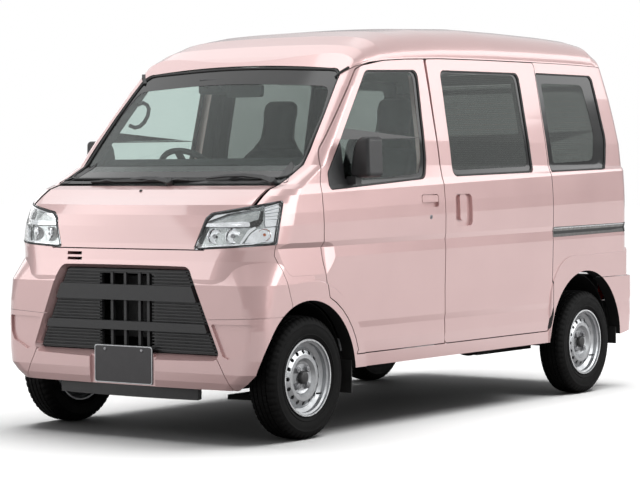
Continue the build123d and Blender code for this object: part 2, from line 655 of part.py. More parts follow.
def makeRearAxle():
    tube = Solid.make_cylinder(32, 1120, Plane(origin=(-560, WHEELBASE, TYRE_R), z_dir=(1, 0, 0)))
    case = Pos(0, WHEELBASE, TYRE_R) * Sphere(105)
    nose = rod((0, WHEELBASE, TYRE_R), (0, WHEELBASE - 210, TYRE_R + 15), 45)
    axle = tube + case + nose
    for side in (-1, 1):
        drum = Solid.make_cylinder(105, 62, Plane(origin=(side * 560 if side > 0 else -622, WHEELBASE, TYRE_R), z_dir=(1, 0, 0)))
        link = block(*sorted((side * 340, side * 380)), WHEELBASE - 520, WHEELBASE + 20, TYRE_R - 50, TYRE_R - 25)
        coil = rod((side * 345, WHEELBASE - 60, TYRE_R - 10), (side * 345, WHEELBASE - 60, 570), 45)
        axle = axle + drum + link + coil
    return largest(axle)


def makeEngine():
    return block(-230, 230, 480, 1090, 300, 640)


def makeDriveline():
    box = block(-110, 110, 1090, 1400, 330, 540)
    shaft = rod((0, 1390, 420), (0, WHEELBASE - 215, TYRE_R + 16), 28)
    return largest(box + shaft)


def makeTank():
    tank = block(80, 320, 1450, 1980, 330, 560)
    return fillet(tank.edges().filter_by(Axis.Z), 50)


def makeExhaust():
    muffler = Solid.make_cylinder(75, 420, Plane(origin=(-235, 1500, 380), z_dir=(0, 1, 0)))
    pipe = rod((-235, 1100, 380), (-235, 1510, 380), 20)
    return largest(muffler + pipe)


def makeSpareWheel():
    return Pos(0, 2690, 400) * Solid.make_cylinder(230, 110, Plane.XY)


def makeRadiator():
    return block(-290, 290, -240, -202, 430, 700)


def makeSteeringWheel():
    """Wheel built about its own axis, then tilted and set before the right-hand seat."""
    ring = Torus(180, 13)
    hub = Cylinder(55, 50)
    wheel = ring + Pos(0, 0, -8) * hub
    for angle in (0, 180, 270):
        spoke = Rot(0, 0, angle) * Pos(112, 0, -6) * Box(130, 34, 14)
        wheel = wheel + spoke
    return Pos(*STEER_POINT) * Rot(STEER_TILT, 0, 0) * largest(wheel)


STEER_POINT = (-345, 540, 1125)
STEER_TILT = -48     # the wheel's face leans back from level


SAIL = [(164, 1080, 12), (345, 1092, 4), (345, 1119, 4), (284, 1124, 6), (284, 1286, 3), (163, 1150, 20)]
MIRROR = [(716, 1126, 26), (832, 1132, 22), (826, 1308, 20), (752, 1310, 58)]


def makeMirror(skin):
    """Door mirror, left: a sail in the window's corner, a short arm and the housing."""
    head = alongY(outline(MIRROR), 305, 412)
    head = fillet(head.faces().sort_by(Axis.Y)[0].edges(), 18)
    arm = block(713, 762, 300, 345, 1098, 1134)
    return largest(head + arm + (skin & alongX(outline(SAIL), 600, 900)))


if __name__ == "__main__":
    os.makedirs("parts", exist_ok=True)
    outer = makeOuter()
    inner = wholeBody(WALL)
    shell = outer - inner
    midShell = (outer & block(300, 900, 900, 2300, 200, 1800)) - inner
    thin = wholeBody(12)
    skin = outer - wholeBody(PULL_DEPTH)
    railBed = outer - wholeBody(9)
    outer4 = wholeBody(4)
    glass = wholeBody(GLASS_IN) - wholeBody(GLASS_IN + GLASS_T)

    side = makeSide(shell, railBed)
    writeNode("body_side_left", side)
    writeNode("body_side_right", mirrored(side))
    writeNode("roof_panel", makeRoof(shell))
    writeNode("windscreen", makeWindscreen(glass))
    writeNode("bonnet", makeBonnet(outer, thin))
    writeNode("front_bumper", makeBumper(shell, outer - wholeBody(9)))
    writeNode("front_lip", makeLip())
    writeNode("cowl_panel", makeCowl(outer, wholeBody(30)))
    writeNode("front_grille", makeGrille())
    writeNode("front_number_plate", makePlate())
    lens, tub = makeLamps(shell, outer, outer4, inner)
    writeNode("headlamp_lenses", both(lens))
    writeNode("headlamp_housings", both(tub))
    writeNode("rear_bumper", makeRearBumper(shell))
    writeNode("tail_lamps", makeRearLamps())
    writeNode("quarter_windows", both(sidePane(glass, grown(outline(QUARTER_WINDOW), -2))))
    within8 = wholeBody(8)
    writeNode("slide_rails", both(largest((wholeBody(1.5) - within8) & alongX(outline(RAIL), 300, 900))))
    writeNode("b_pillars", makePillars(wholeBody(62), wholeBody(92)))
    sliding = makeSlidingDoor(midShell, skin)
    writeNode("sliding_door_left", sliding)
    writeNode("sliding_door_right", mirrored(sliding))
    writeNode("sliding_door_windows", both(sidePane(glass, grown(outline(SLIDING_WINDOW), -2))))
    door = makeFrontDoor(shell, skin)
    doorPane = sidePane(glass, grown(outline(FRONT_WINDOW), -2))
    doorMirror = makeMirror(outer - within8)
    for name, side in (("left", 1), ("right", -1)):
        place = (lambda shape: shape) if side > 0 else mirrored
        writeNode("door_front_" + name, place(door))
        writeNode("door_window_" + name, place(doorPane))
        writeNode("door_mirror_" + name, place(doorMirror))
        writeNode("knuckle_" + name, place(makeKnuckle()))
    writeNode("tailgate", makeTailgate(shell))
    writeNode("tailgate_window", largest(glass & alongY(grown(outline(REAR_WINDOW), -2), 2500, 3200)))
    writeNode("floor_pan", makeFloor())
    writeNode("bulkhead", makeBulkhead())
    writeNode("dashboard", makeDashboard())
    writeNode("front_seats", seatPair())
    writeNode("rear_bench", makeRearBench())
    writeNode("wheel_houses_front", makeArchLiners(ARCH_FRONT, 332))
    writeNode("wheel_houses_rear", makeArchLiners(ARCH_REAR, 350))
    writeNode("mud_flaps", makeFlaps())
    writeNode("rear_number_plate", makeRearPlate())
    writeNode("interior_mirror", makeInteriorMirror())
    writeNode("steering_column", makeColumn())
    writeNode("front_suspension", makeSuspension())
    writeNode("rear_axle", makeRearAxle())
    writeNode("engine", makeEngine())
    writeNode("driveline", makeDriveline())
    writeNode("fuel_tank", makeTank())
    writeNode("exhaust", makeExhaust())
    writeNode("spare_wheel", makeSpareWheel())
    writeNode("radiator", makeRadiator())
    writeNode("steering_wheel", makeSteeringWheel())
    tyre, rim = makeTyre(), makeRim()
    for end, y in (("front", 0), ("rear", WHEELBASE)):
        for name, side in (("left", 1), ("right", -1)):
            writeNode("tyre_" + end + "_" + name, wheelAt(tyre, side, y))
            writeNode("rim_" + end + "_" + name, wheelAt(rim, side, y))
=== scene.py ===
import math
import bpy
import bmesh
from mathutils import Matrix, Vector
from mathutils.bvhtree import BVHTree


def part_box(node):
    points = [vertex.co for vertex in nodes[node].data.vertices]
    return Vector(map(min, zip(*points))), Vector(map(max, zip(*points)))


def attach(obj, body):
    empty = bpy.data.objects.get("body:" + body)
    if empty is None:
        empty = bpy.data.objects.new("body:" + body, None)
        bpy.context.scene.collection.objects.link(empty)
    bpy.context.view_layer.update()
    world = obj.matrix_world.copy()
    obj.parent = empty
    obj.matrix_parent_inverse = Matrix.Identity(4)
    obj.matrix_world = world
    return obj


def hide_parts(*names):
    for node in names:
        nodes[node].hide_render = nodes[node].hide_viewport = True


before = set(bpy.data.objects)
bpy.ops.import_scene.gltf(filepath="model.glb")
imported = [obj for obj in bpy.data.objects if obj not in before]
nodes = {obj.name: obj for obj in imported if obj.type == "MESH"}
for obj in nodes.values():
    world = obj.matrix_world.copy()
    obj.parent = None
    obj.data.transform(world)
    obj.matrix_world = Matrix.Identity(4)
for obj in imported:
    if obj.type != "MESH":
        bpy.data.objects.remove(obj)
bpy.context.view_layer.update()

frontAxle = -1.2925        # y of the front axle, the start of every length below
bothSides = ((1, "left"), (-1, "right"))
print("frame loaded:", len(nodes), "nodes")


camera = {"place": (6.2886, -8.9208, 1.1335), "turn": 35.816, "down": 1.651, "roll": -0.254, "lens": 123.5}


def makeCamera(spec):
    turn, down, roll = (math.radians(spec[k]) for k in ("turn", "down", "roll"))
    ahead = Vector((-math.sin(turn) * math.cos(down), math.cos(turn) * math.cos(down), -math.sin(down)))
    right = ahead.cross(Vector((0, 0, 1))).normalized()
    up = right.cross(ahead)
    side = math.cos(roll) * right + math.sin(roll) * up
    top = -math.sin(roll) * right + math.cos(roll) * up
    data = bpy.data.cameras.new("studioCamera")
    data.sensor_width, data.lens, data.clip_end = 36, spec["lens"], 200
    eye = bpy.data.objects.new("studioCamera", data)
    eye.matrix_world = Matrix((
        (side.x, top.x, -ahead.x, spec["place"][0]), (side.y, top.y, -ahead.y, spec["place"][1]),
        (side.z, top.z, -ahead.z, spec["place"][2]), (0, 0, 0, 1)))
    bpy.context.scene.collection.objects.link(eye)
    bpy.context.scene.camera = eye


makeCamera(camera)

# The room is dim at eye level and bright higher up, so that a face tilted up shines
# and one tilted down darkens. Some lamps light the van alone, one the floor alone.
studio = {
    "floor": (0.22, 0.22, 0.22), "seen": (1.0, 1.0, 1.0), "bounce": (0.055, 0.053, 0.053),
    "room": [(0.0, (0.30, 0.30, 0.305)), (0.10, (0.38, 0.385, 0.39)), (0.30, (0.80, 0.805, 0.81)),
             (1.0, (0.70, 0.705, 0.71))],
    "fade": (2.4, 6.0), "sheen": (2.2, 4.0), "farFloor": 0.80,
    "lamps": [  # name, place, aim, size, power, what it lights
        ("overhead", (-2.2, 0.4, 5.0), (-1.2, 0.3, 0.5), (4.6, 6.5), 62, "van"),
        ("crown", (-0.3, -1.5, 5.0), (0, -1.5, 0.8), (4.0, 2.2), 38, "van"),
        ("nearSide", (7.0, 2.5, 3.0), (0, 0.4, 0.9), (7.0, 3.6), 245, "van"),
        ("sideGlow", (5.2, 7.4, 3.9), (0.7, 0.6, 1.0), (6.0, 1.8), 60, "van"),
        ("nose", (-6.0, -6.8, 3.2), (-0.2, -1.5, 0.8), (5.0, 5.0), 140, "van"),
        ("farSide", (-6.0, 1.0, 2.6), (0, 0, 0.9), (4.0, 2.0), 30, "van"),
        ("floorWash", (0.3, 0.6, 4.8), (0, 0.4, 0), (4.0, 7.0), 2100, "floor")],
    "clearPanes": ["windscreen", "door_window_left", "door_window_right", "quarter_windows",
                   "sliding_door_windows", "tailgate_window"]}


def lightOnly(lamp, floor, van):
    # the lamp skips the floor, or reaches nothing else
    group = bpy.data.collections.new(lamp.name + "Reach")
    group.objects.link(floor)
    group.collection_objects[0].light_linking.link_state = "EXCLUDE" if van else "INCLUDE"
    lamp.light_linking.receiver_collection = group


def makeStudio(spec):
    mesh = bpy.data.meshes.new("floor")
    mesh.from_pydata([(-60, -60, 0), (60, -60, 0), (60, 60, 0), (-60, 60, 0)], [], [(0, 1, 2, 3)])
    floor = bpy.data.objects.new("floor", mesh)
    bpy.context.scene.collection.objects.link(floor)
    for name, spot, aim, size, power, reach in spec["lamps"]:
        data = bpy.data.lights.new(name, "AREA")
        data.shape, data.size, data.size_y, data.energy = "RECTANGLE", size[0], size[1], power
        lamp = bpy.data.objects.new(name, data)
        lamp.location = spot
        lamp.rotation_euler = (Vector(aim) - Vector(spot)).to_track_quat("-Z", "Y").to_euler()
        bpy.context.scene.collection.objects.link(lamp)
        if reach != "all":
            lightOnly(lamp, floor, reach == "van")
    world = bpy.data.worlds.new("softRoom")
    bpy.context.scene.world = world
    world.use_nodes = True
    tree = world.node_tree
    height = tree.nodes.new("ShaderNodeSeparateXYZ")
    tree.links.new(tree.nodes.new("ShaderNodeTexCoord").outputs["Generated"], height.inputs[0])
    ramp = tree.nodes.new("ShaderNodeValToRGB")
    tree.links.new(height.outputs[2], ramp.inputs[0])
    stops = ramp.color_ramp.elements
    while len(stops) < len(spec["room"]):
        stops.new(0.5)
    for stop, (level, colour) in zip(stops, spec["room"]):
        stop.position, stop.color = level, (*colour, 1)
    seen = tree.nodes.new("ShaderNodeMix")
    seen.data_type = "RGBA"
    rays = tree.nodes.new("ShaderNodeLightPath").outputs
    direct = tree.nodes.new("ShaderNodeMath")
    direct.operation = "MAXIMUM"
    tree.links.new(rays["Is Camera Ray"], direct.inputs[0])
    tree.links.new(rays["Is Transmission Ray"], direct.inputs[1])
    tree.links.new(direct.outputs[0], seen.inputs[0])
    tree.links.new(ramp.outputs[0], seen.inputs[6])
    seen.inputs[7].default_value = (*spec["seen"], 1)
    tree.links.new(seen.outputs[2], tree.nodes["Background"].inputs["Color"])
    return floor


floor = makeStudio(studio)
bpy.context.scene.view_settings.view_transform = "Standard"
print("camera and studio ready")


def newGroup(name, inputs, outputs):
    tree = bpy.data.node_groups.new(name, "ShaderNodeTree")
    for label, kind, value in inputs:
        socket = tree.interface.new_socket(name=label, in_out="INPUT", socket_type="NodeSocket" + kind)
        socket.default_value = value
    for label, kind in outputs:
        tree.interface.new_socket(name=label, in_out="OUTPUT", socket_type="NodeSocket" + kind)
    return tree, tree.nodes.new("NodeGroupInput").outputs, tree.nodes.new("NodeGroupOutput").inputs


def step(tree, kind, inputs=(), **settings):
    # one node with its settings, its inputs linked or set by place or by name
    node = tree.nodes.new("ShaderNode" + kind)
    for key, value in settings.items():
        setattr(node, key, value)
    for key, value in dict(inputs).items():
        if isinstance(value, bpy.types.NodeSocket):
            tree.links.new(value, node.inputs[key])
        else:
            node.inputs[key].default_value = value
    return node


def sum2(tree, kind, a, b):
    return step(tree, "Math", {0: a, 1: b}, operation=kind).outputs[0]


def blendColour(tree, amount, a, b):
    node = step(tree, "Mix", {0: amount, 6: a, 7: b}, data_type="RGBA")
    return node.outputs[2]


def makeDust():
    # thin road dust, thicker low down, over any finish
    tree, given, out = newGroup("roadDust", [
        ("Colour", "Color", (1, 1, 1, 1)), ("Dust", "Color", (0.3, 0.27, 0.24, 1)),
        ("Roughness", "Float", 0.4), ("Amount", "Float", 0.1), ("Height", "Float", 0.5)],
        [("Colour", "Color"), ("Roughness", "Float")])
    place = step(tree, "TexCoord").outputs["Object"]
    height = step(tree, "SeparateXYZ", {0: place}).outputs[2]
    low = step(tree, "MapRange", {0: height, 1: 0.1, 2: given["Height"], 3: 1.0, 4: 0.0}).outputs[0]
    cloud = step(tree, "TexNoise", {"Vector": place, "Scale": 9.0, "Detail": 6.0}).outputs[0]
    fine = step(tree, "TexNoise", {"Vector": place, "Scale": 160.0, "Detail": 2.0}).outputs[0]
    patch = sum2(tree, "MULTIPLY", sum2(tree, "MULTIPLY", cloud, fine), low)
    mask = sum2(tree, "MULTIPLY", patch, given["Amount"])
    colour = blendColour(tree, mask, given["Colour"], given["Dust"])
    tree.links.new(colour, out["Colour"])
    rough = step(tree, "Mix", {0: mask, 2: given["Roughness"], 3: 0.85}).outputs[0]
    tree.links.new(rough, out["Roughness"])
    return tree


def makeMottle():
    # slight drift of colour and sheen that every real finish has
    tree, given, out = newGroup("finishDrift", [
        ("Colour", "Color", (1, 1, 1, 1)), ("Second", "Color", (1, 1, 1, 1)), ("Scale", "Float", 20.0),
        ("Roughness", "Float", 0.4), ("Spread", "Float", 0.1)],
        [("Colour", "Color"), ("Roughness", "Float"), ("Mask", "Float")])
    place = step(tree, "TexCoord").outputs["Object"]
    noise = step(tree, "TexNoise", {"Vector": place, "Scale": given["Scale"], "Detail": 5.0}).outputs[0]
    mask = step(tree, "MapRange", {0: noise, 1: 0.35, 2: 0.65, 3: 0.0, 4: 1.0}).outputs[0]
    tree.links.new(blendColour(tree, mask, given["Colour"], given["Second"]), out["Colour"])
    shift = sum2(tree, "MULTIPLY", sum2(tree, "SUBTRACT", mask, 0.5), given["Spread"])
    tree.links.new(sum2(tree, "ADD", given["Roughness"], shift), out["Roughness"])
    tree.links.new(mask, out["Mask"])
    return tree


def makeGrain():
    # moulded grain: small cells with softened edges, as a height
    tree, given, out = newGroup("mouldedGrain", [("Scale", "Float", 600.0), ("Depth", "Float", 1.0)],
                                [("Height", "Float")])
    place = step(tree, "TexCoord").outputs["Object"]
    cells = step(tree, "TexVoronoi", {"Vector": place, "Scale": given["Scale"]},
                 feature="SMOOTH_F1").outputs[0]
    noise = step(tree, "TexNoise", {"Vector": place, "Scale": given["Scale"], "Detail": 3.0}).outputs[0]
    tree.links.new(sum2(tree, "MULTIPLY", sum2(tree, "ADD", cells, noise), given["Depth"]), out["Height"])
    return tree


def makeWeave():
    # plain weave of two thread runs, as a height and a colour mask; the mask is low in the gaps between
    # threads, where it paints shade, and drifts at random with noise
    tree, given, out = newGroup("clothWeaveGapShade", [("Threads", "Float", 700.0)],
                                [("Height", "Float"), ("Mask", "Float")])
    place = step(tree, "TexCoord").outputs["Object"]
    runs = []
    for turn in ((0, 0, 0), (1.5708, 1.5708, 0)):
        aim = step(tree, "Mapping", {0: place, 2: turn}).outputs[0]
        runs.append(step(tree, "TexWave", {"Vector": aim, "Scale": given["Threads"], "Distortion": 0.6},
                         bands_direction="DIAGONAL").outputs[1])
    height = sum2(tree, "MAXIMUM", runs[0], runs[1])
    noise = step(tree, "TexNoise", {"Vector": place, "Scale": 55.0, "Detail": 4.0}).outputs[0]
    tree.links.new(height, out["Height"])
    tree.links.new(sum2(tree, "MULTIPLY", height, noise), out["Mask"])
    return tree


def makeLining(arches):
    # where a body panel faces inwards it shows its trim; near a wheel arch, faces turned towards the axle
    # (arch returns, door bottoms, shut gaps) are painted near-black as painted shade
    tree, given, out = newGroup("insideLiningAndArchShade", [
        ("Paint", "Color", (1, 1, 1, 1)), ("Lining", "Color", (0.2, 0.2, 0.2, 1)),
        ("Roof", "Color", (0.5, 0.5, 0.5, 1)), ("Roughness", "Float", 0.3), ("Coat", "Float", 1.0)],
        [("Colour", "Color"), ("Roughness", "Float"), ("Coat", "Float"), ("Inside", "Float")])
    coords = step(tree, "TexCoord")
    place = step(tree, "SeparateXYZ", {0: coords.outputs["Object"]}).outputs
    facing = step(tree, "SeparateXYZ", {0: coords.outputs["Normal"]}).outputs
    inwardX = sum2(tree, "LESS_THAN", sum2(tree, "MULTIPLY", place[0], facing[0]), -0.12)
    inwardY = sum2(tree, "LESS_THAN", sum2(tree, "MULTIPLY", place[1], facing[1]), -0.62)
    under = sum2(tree, "LESS_THAN", facing[2], -0.25)
    high = sum2(tree, "GREATER_THAN", place[2], 1.6)
    roof = sum2(tree, "MULTIPLY", under, high)
    inside = sum2(tree, "MAXIMUM", sum2(tree, "MAXIMUM", inwardX, inwardY), roof)
    inside = sum2(tree, "MULTIPLY", inside, sum2(tree, "GREATER_THAN", place[1], -1.55))
    flat = step(tree, "CombineXYZ", {1: place[1], 2: place[2]}).outputs[0]
    paintedArchShade = 0.0
    for y, z, reach in arches:
        away = step(tree, "VectorMath", {0: flat, 1: (0, y, z)}, operation="SUBTRACT").outputs[0]
        near = step(tree, "VectorMath", {0: away}, operation="LENGTH").outputs["Value"]
        turned = step(tree, "VectorMath", {0: away, 1: coords.outputs["Normal"]},
                      operation="DOT_PRODUCT").outputs["Value"]
        mask = sum2(tree, "MULTIPLY", sum2(tree, "LESS_THAN", near, reach),
                    sum2(tree, "LESS_THAN", turned, -0.15))
        paintedArchShade = sum2(tree, "MAXIMUM", paintedArchShade, mask)
    trim = blendColour(tree, high, given["Lining"], given["Roof"])
    # painted shade: near-black stands in for the shadow in and beside the wheel arches
    trim = blendColour(tree, paintedArchShade, trim, (0.008, 0.008, 0.008, 1))
    inside = sum2(tree, "MAXIMUM", inside, paintedArchShade)
    tree.links.new(blendColour(tree, inside, given["Paint"], trim), out["Colour"])
    tree.links.new(step(tree, "Mix", {0: inside, 2: given["Roughness"], 3: 0.8}).outputs[0], out["Roughness"])
    tree.links.new(sum2(tree, "MULTIPLY", sum2(tree, "SUBTRACT", 1.0, inside), given["Coat"]), out["Coat"])
    tree.links.new(inside, out["Inside"])
    return tree


effects = {"dust": makeDust(), "drift": makeMottle(), "grain": makeGrain(), "weave": makeWeave(),
           "lining": makeLining([(-1.3005, 0.262, 0.362), (1.1395, 0.268, 0.394)])}
print("shared effects ready")


def place(tree, name, values):
    node = tree.nodes.new("ShaderNodeGroup")
    node.node_tree = effects[name]
    for key, value in values.items():
        if isinstance(value, bpy.types.NodeSocket):
            tree.links.new(value, node.inputs[key])
        else:
            node.inputs[key].default_value = value
    return node.outputs


def newFinish(name, settings):
    material = bpy.data.materials.new(name)
    material.use_nodes = True
    tree = material.node_tree
    shader = tree.nodes["Principled BSDF"]
    for key, value in settings.items():
        shader.inputs[key].default_value = value
    return material, tree, shader.inputs


def bump(tree, height, strength, distance):
    return step(tree, "Bump", {"Height": height, "Strength": strength, "Distance": distance}).outputs[0]


paint = {"base": (0.63, 0.405, 0.395, 1), "second": (0.65, 0.422, 0.412, 1), "lining": (0.13, 0.13, 0.13, 1),
         "roof": (0.42, 0.42, 0.41, 1), "roughness": 0.36, "flake": 2600.0}


def makePaint(spec):
    material, tree, shader = newFinish("rosePearl", {
        "Metallic": 0.45, "Coat Roughness": 0.07, "Coat IOR": 1.75, "Specular IOR Level": 0.5})
    drift = place(tree, "drift", {"Colour": spec["base"], "Second": spec["second"], "Scale": 3.0,
                                  "Roughness": spec["roughness"], "Spread": 0.04})
    # inner trim colour, plus painted shade near the wheel arches
    linedAndArchShaded = place(tree, "lining", {"Paint": drift["Colour"], "Lining": spec["lining"], "Roof": spec["roof"],
                                   "Roughness": drift["Roughness"], "Coat": 1.0})
    dusty = place(tree, "dust", {"Colour": linedAndArchShaded["Colour"], "Roughness": linedAndArchShaded["Roughness"], "Amount": 0.25,
                                 "Height": 0.42})
    tree.links.new(dusty["Colour"], shader["Base Color"])
    tree.links.new(dusty["Roughness"], shader["Roughness"])
    tree.links.new(linedAndArchShaded["Coat"], shader["Coat Weight"])
    spot = step(tree, "TexCoord").outputs["Object"]
    flake = step(tree, "TexVoronoi", {"Vector": spot, "Scale": spec["flake"]}).outputs[0]
    tree.links.new(bump(tree, flake, 0.04, 0.0004), shader["Normal"])
    return material


def makePlain(name, base, second, roughness, scale=20.0, spread=0.1, grain=0, depth=0.0005, dust=0.1,
              **extra):
    material, tree, shader = newFinish(name, {key.replace("_", " "): value for key, value in extra.items()})
    drift = place(tree, "drift", {"Colour": (*base, 1), "Second": (*second, 1), "Scale": scale,
                                  "Roughness": roughness, "Spread": spread})
    dusty = place(tree, "dust", {"Colour": drift["Colour"], "Roughness": drift["Roughness"], "Amount": dust,
                                 "Height": 0.5})
    tree.links.new(dusty["Colour"], shader["Base Color"])
    tree.links.new(dusty["Roughness"], shader["Roughness"])
    if grain:
        height = place(tree, "grain", {"Scale": grain, "Depth": 1.0})["Height"]
        tree.links.new(bump(tree, height, 0.5, depth), shader["Normal"])
    return material


def makeGlass(name, tint, roughness=0.0, clear=1.0, lines=0.0):
    material, tree, shader = newFinish(name, {
        "Transmission Weight": clear, "IOR": 1.45, "Specular IOR Level": 0.5})
    drift = place(tree, "drift", {"Colour": (*tint, 1), "Second": (*[t * 0.97 for t in tint], 1),
                                  "Scale": 2.0, "Roughness": roughness + 0.01, "Spread": 0.01})
    colour = drift["Colour"]
    if lines:
        height = step(tree, "SeparateXYZ", {0: step(tree, "TexCoord").outputs["Object"]}).outputs[2]
        beat = sum2(tree, "FRACT", sum2(tree, "DIVIDE", height, lines), 0.0)
        thin = sum2(tree, "LESS_THAN", beat, 0.35)
        colour = blendColour(tree, sum2(tree, "MULTIPLY", thin, 0.22), colour, (0.62, 0.64, 0.62, 1))
    tree.links.new(colour, shader["Base Color"])
    tree.links.new(drift["Roughness"], shader["Roughness"])
    return material


def makeCloth(name, base, second):
    material, tree, shader = newFinish(name, {"Sheen Weight": 0.25, "Sheen Roughness": 0.5})
    weave = place(tree, "weave", {"Threads": 420.0})
    drift = place(tree, "drift", {"Colour": (*base, 1), "Second": (*second, 1), "Scale": 40.0,
                                  "Roughness": 0.86, "Spread": 0.08})
    # painted shade in the weave gaps, mixed with a random darker tone from the noise
    dark = blendColour(tree, weave["Mask"], tuple(c * 0.55 for c in base) + (1,), drift["Colour"])
    tree.links.new(dark, shader["Base Color"])
    tree.links.new(drift["Roughness"], shader["Roughness"])
    tree.links.new(bump(tree, weave["Height"], 0.6, 0.0006), shader["Normal"])
    return material


finish = {
    "paint": makePaint(paint),
    "glass": makeGlass("greenGlass", (0.72, 0.81, 0.78)),
    "darkGlass": makeGlass("privacyGlass", (0.30, 0.325, 0.31), clear=0.80, lines=0.0105),
    "blackTrim": makePlain("satinBlack", (0.020, 0.020, 0.021), (0.028, 0.028, 0.029), 0.45, grain=900,
                           depth=0.0002),
    "blackGloss": makePlain("glossBlack", (0.006, 0.006, 0.006), (0.008, 0.008, 0.008), 0.12, spread=0.02,
                            dust=0.02),
    "plate": makePlain("blankPlate", (0.035, 0.033, 0.036), (0.042, 0.040, 0.043), 0.35, grain=500,
                       depth=0.0001),
    "lens": makeGlass("clearLens", (0.97, 0.98, 0.98)),
    "reflector": makePlain("brightReflector", (0.72, 0.73, 0.75), (0.62, 0.63, 0.65), 0.10, spread=0.04,
                           Metallic=1.0),
    "smoke": makePlain("smokedReflector", (0.42, 0.44, 0.44), (0.30, 0.32, 0.32), 0.20, scale=45, spread=0.1,
                       Metallic=1.0),
    "mirror": makePlain("silverMirror", (0.70, 0.72, 0.72), (0.68, 0.70, 0.70), 0.03, spread=0.01, dust=0.01,
                        Metallic=1.0),
    "paleTrim": makePlain("paleTrim", (0.34, 0.345, 0.34), (0.30, 0.305, 0.30), 0.65, grain=600,
                          depth=0.0003),
    "webbing": makePlain("beltWebbing", (0.030, 0.030, 0.031), (0.045, 0.045, 0.046), 0.7, scale=300,
                         grain=1500, depth=0.0003),
    "wheelBright": makePlain("brightLip", (0.78, 0.79, 0.80), (0.70, 0.71, 0.72), 0.25, spread=0.05,
                             Metallic=0.9),
    "redLens": makePlain("redLens", (0.42, 0.012, 0.015), (0.30, 0.008, 0.010), 0.12, scale=8, spread=0.04),
    "amber": makePlain("amberLens", (0.62, 0.16, 0.03), (0.50, 0.11, 0.02), 0.15, spread=0.04),
    "steel": makePlain("machinedSteel", (0.32, 0.32, 0.33), (0.24, 0.24, 0.25), 0.38, scale=60, Metallic=1.0),
    "wheelSilver": makePlain("wheelSilver", (0.50, 0.51, 0.52), (0.42, 0.43, 0.44), 0.33, scale=30,
                             Metallic=0.85),
    "underseal": makePlain("underseal", (0.005, 0.005, 0.005), (0.008, 0.008, 0.008), 0.7, grain=260,
                           depth=0.0008, Specular_IOR_Level=0.15),
    "darkCore": makePlain("coolerCore", (0.010, 0.010, 0.010), (0.016, 0.016, 0.016), 0.6, grain=420,
                          depth=0.0006),
    "casting": makePlain("castAlloy", (0.24, 0.25, 0.26), (0.17, 0.17, 0.18), 0.55, grain=420, depth=0.0006,
                         Metallic=0.7),
    "trim": makePlain("grainedTrim", (0.042, 0.042, 0.044), (0.054, 0.054, 0.056), 0.6, grain=700,
                      depth=0.0004),
    "cloth": makeCloth("seatCloth", (0.085, 0.085, 0.088), (0.12, 0.12, 0.125)),
    "tyre": makePlain("tyreRubber", (0.0025, 0.0025, 0.0025), (0.004, 0.004, 0.004), 0.6, scale=35, grain=500,
                      depth=0.0004, dust=0.02, Specular_IOR_Level=0.12),
    "rubber": makePlain("sealRubber", (0.010, 0.010, 0.010), (0.016, 0.016, 0.016), 0.5, grain=800,
                        depth=0.0002),
    "railMetal": makePlain("railMetal", (0.22, 0.215, 0.21), (0.17, 0.165, 0.16), 0.35, scale=50,
                           Metallic=0.8),
    "floor": makePlain("studioFloor", studio["floor"], tuple(c * 0.985 for c in studio["floor"]), 0.75,
                       scale=0.6),
}

nodeFinish = {
    "paint": ["body_side_left", "body_side_right", "roof_panel", "bonnet", "front_bumper", "rear_bumper",
              "sliding_door_left", "sliding_door_right", "door_front_left", "door_front_right", "tailgate"],
    "glass": ["windscreen", "door_window_left", "door_window_right"],
    "darkGlass": ["quarter_windows", "sliding_door_windows", "tailgate_window"],
    "blackTrim": ["front_grille", "door_mirror_left", "door_mirror_right", "front_lip", "cowl_panel"],
    "plate": ["front_number_plate", "rear_number_plate"],
    "lens": ["headlamp_lenses"], "reflector": ["headlamp_housings"], "redLens": ["tail_lamps"],
    "steel": ["knuckle_left", "knuckle_right", "driveline", "exhaust"],
    "wheelSilver": ["rim_front_left", "rim_front_right", "rim_rear_left", "rim_rear_right"],
    "underseal": ["floor_pan", "bulkhead", "wheel_houses_front", "wheel_houses_rear", "front_suspension",
                  "rear_axle", "fuel_tank"],
    "casting": ["engine"], "darkCore": ["radiator"],
    "trim": ["dashboard", "steering_wheel", "steering_column", "interior_mirror", "b_pillars"],
    "cloth": ["front_seats", "rear_bench"],
    "tyre": ["tyre_front_left", "tyre_front_right", "tyre_rear_left", "tyre_rear_right", "spare_wheel"],
    "rubber": ["mud_flaps"], "railMetal": ["slide_rails"],
}
for name, owned in nodeFinish.items():
    for node in owned:
        if node in nodes:
            nodes[node].data.materials.clear()
            nodes[node].data.materials.append(finish[name])


def fadeFloor(spec):
    # the floor runs out into the pale room at some distance from the van
    tree = finish["floor"].node_tree
    shader = tree.nodes["Principled BSDF"]
    spot = step(tree, "TexCoord").outputs["Object"]
    reach = step(tree, "VectorMath", {0: spot}, operation="LENGTH").outputs["Value"]
    glow = step(tree, "MapRange", {0: reach, 1: spec["fade"][0], 2: spec["fade"][1], 3: 0.0,
                                   4: spec["farFloor"]},
                interpolation_type="SMOOTHSTEP").outputs[0]
    sheen = step(tree, "MapRange", {0: reach, 1: spec["sheen"][0], 2: spec["sheen"][1], 3: 0.0, 4: 0.9},
                 interpolation_type="SMOOTHSTEP").outputs[0]
    rays = step(tree, "LightPath").outputs
    seen = sum2(tree, "MAXIMUM", rays["Is Camera Ray"], rays["Is Transmission Ray"])
    bright = sum2(tree, "MAXIMUM", sum2(tree, "MULTIPLY", glow, seen),
                  sum2(tree, "MULTIPLY", sheen, rays["Is Glossy Ray"]))
    tree.links.new(bright, shader.inputs["Emission Color"])
    tree.links.new(blendColour(tree, seen, (*spec["bounce"], 1),
                               shader.inputs["Base Color"].links[0].from_socket),
                   shader.inputs["Base Color"])
    shader.inputs["Emission Strength"].default_value = 1.0


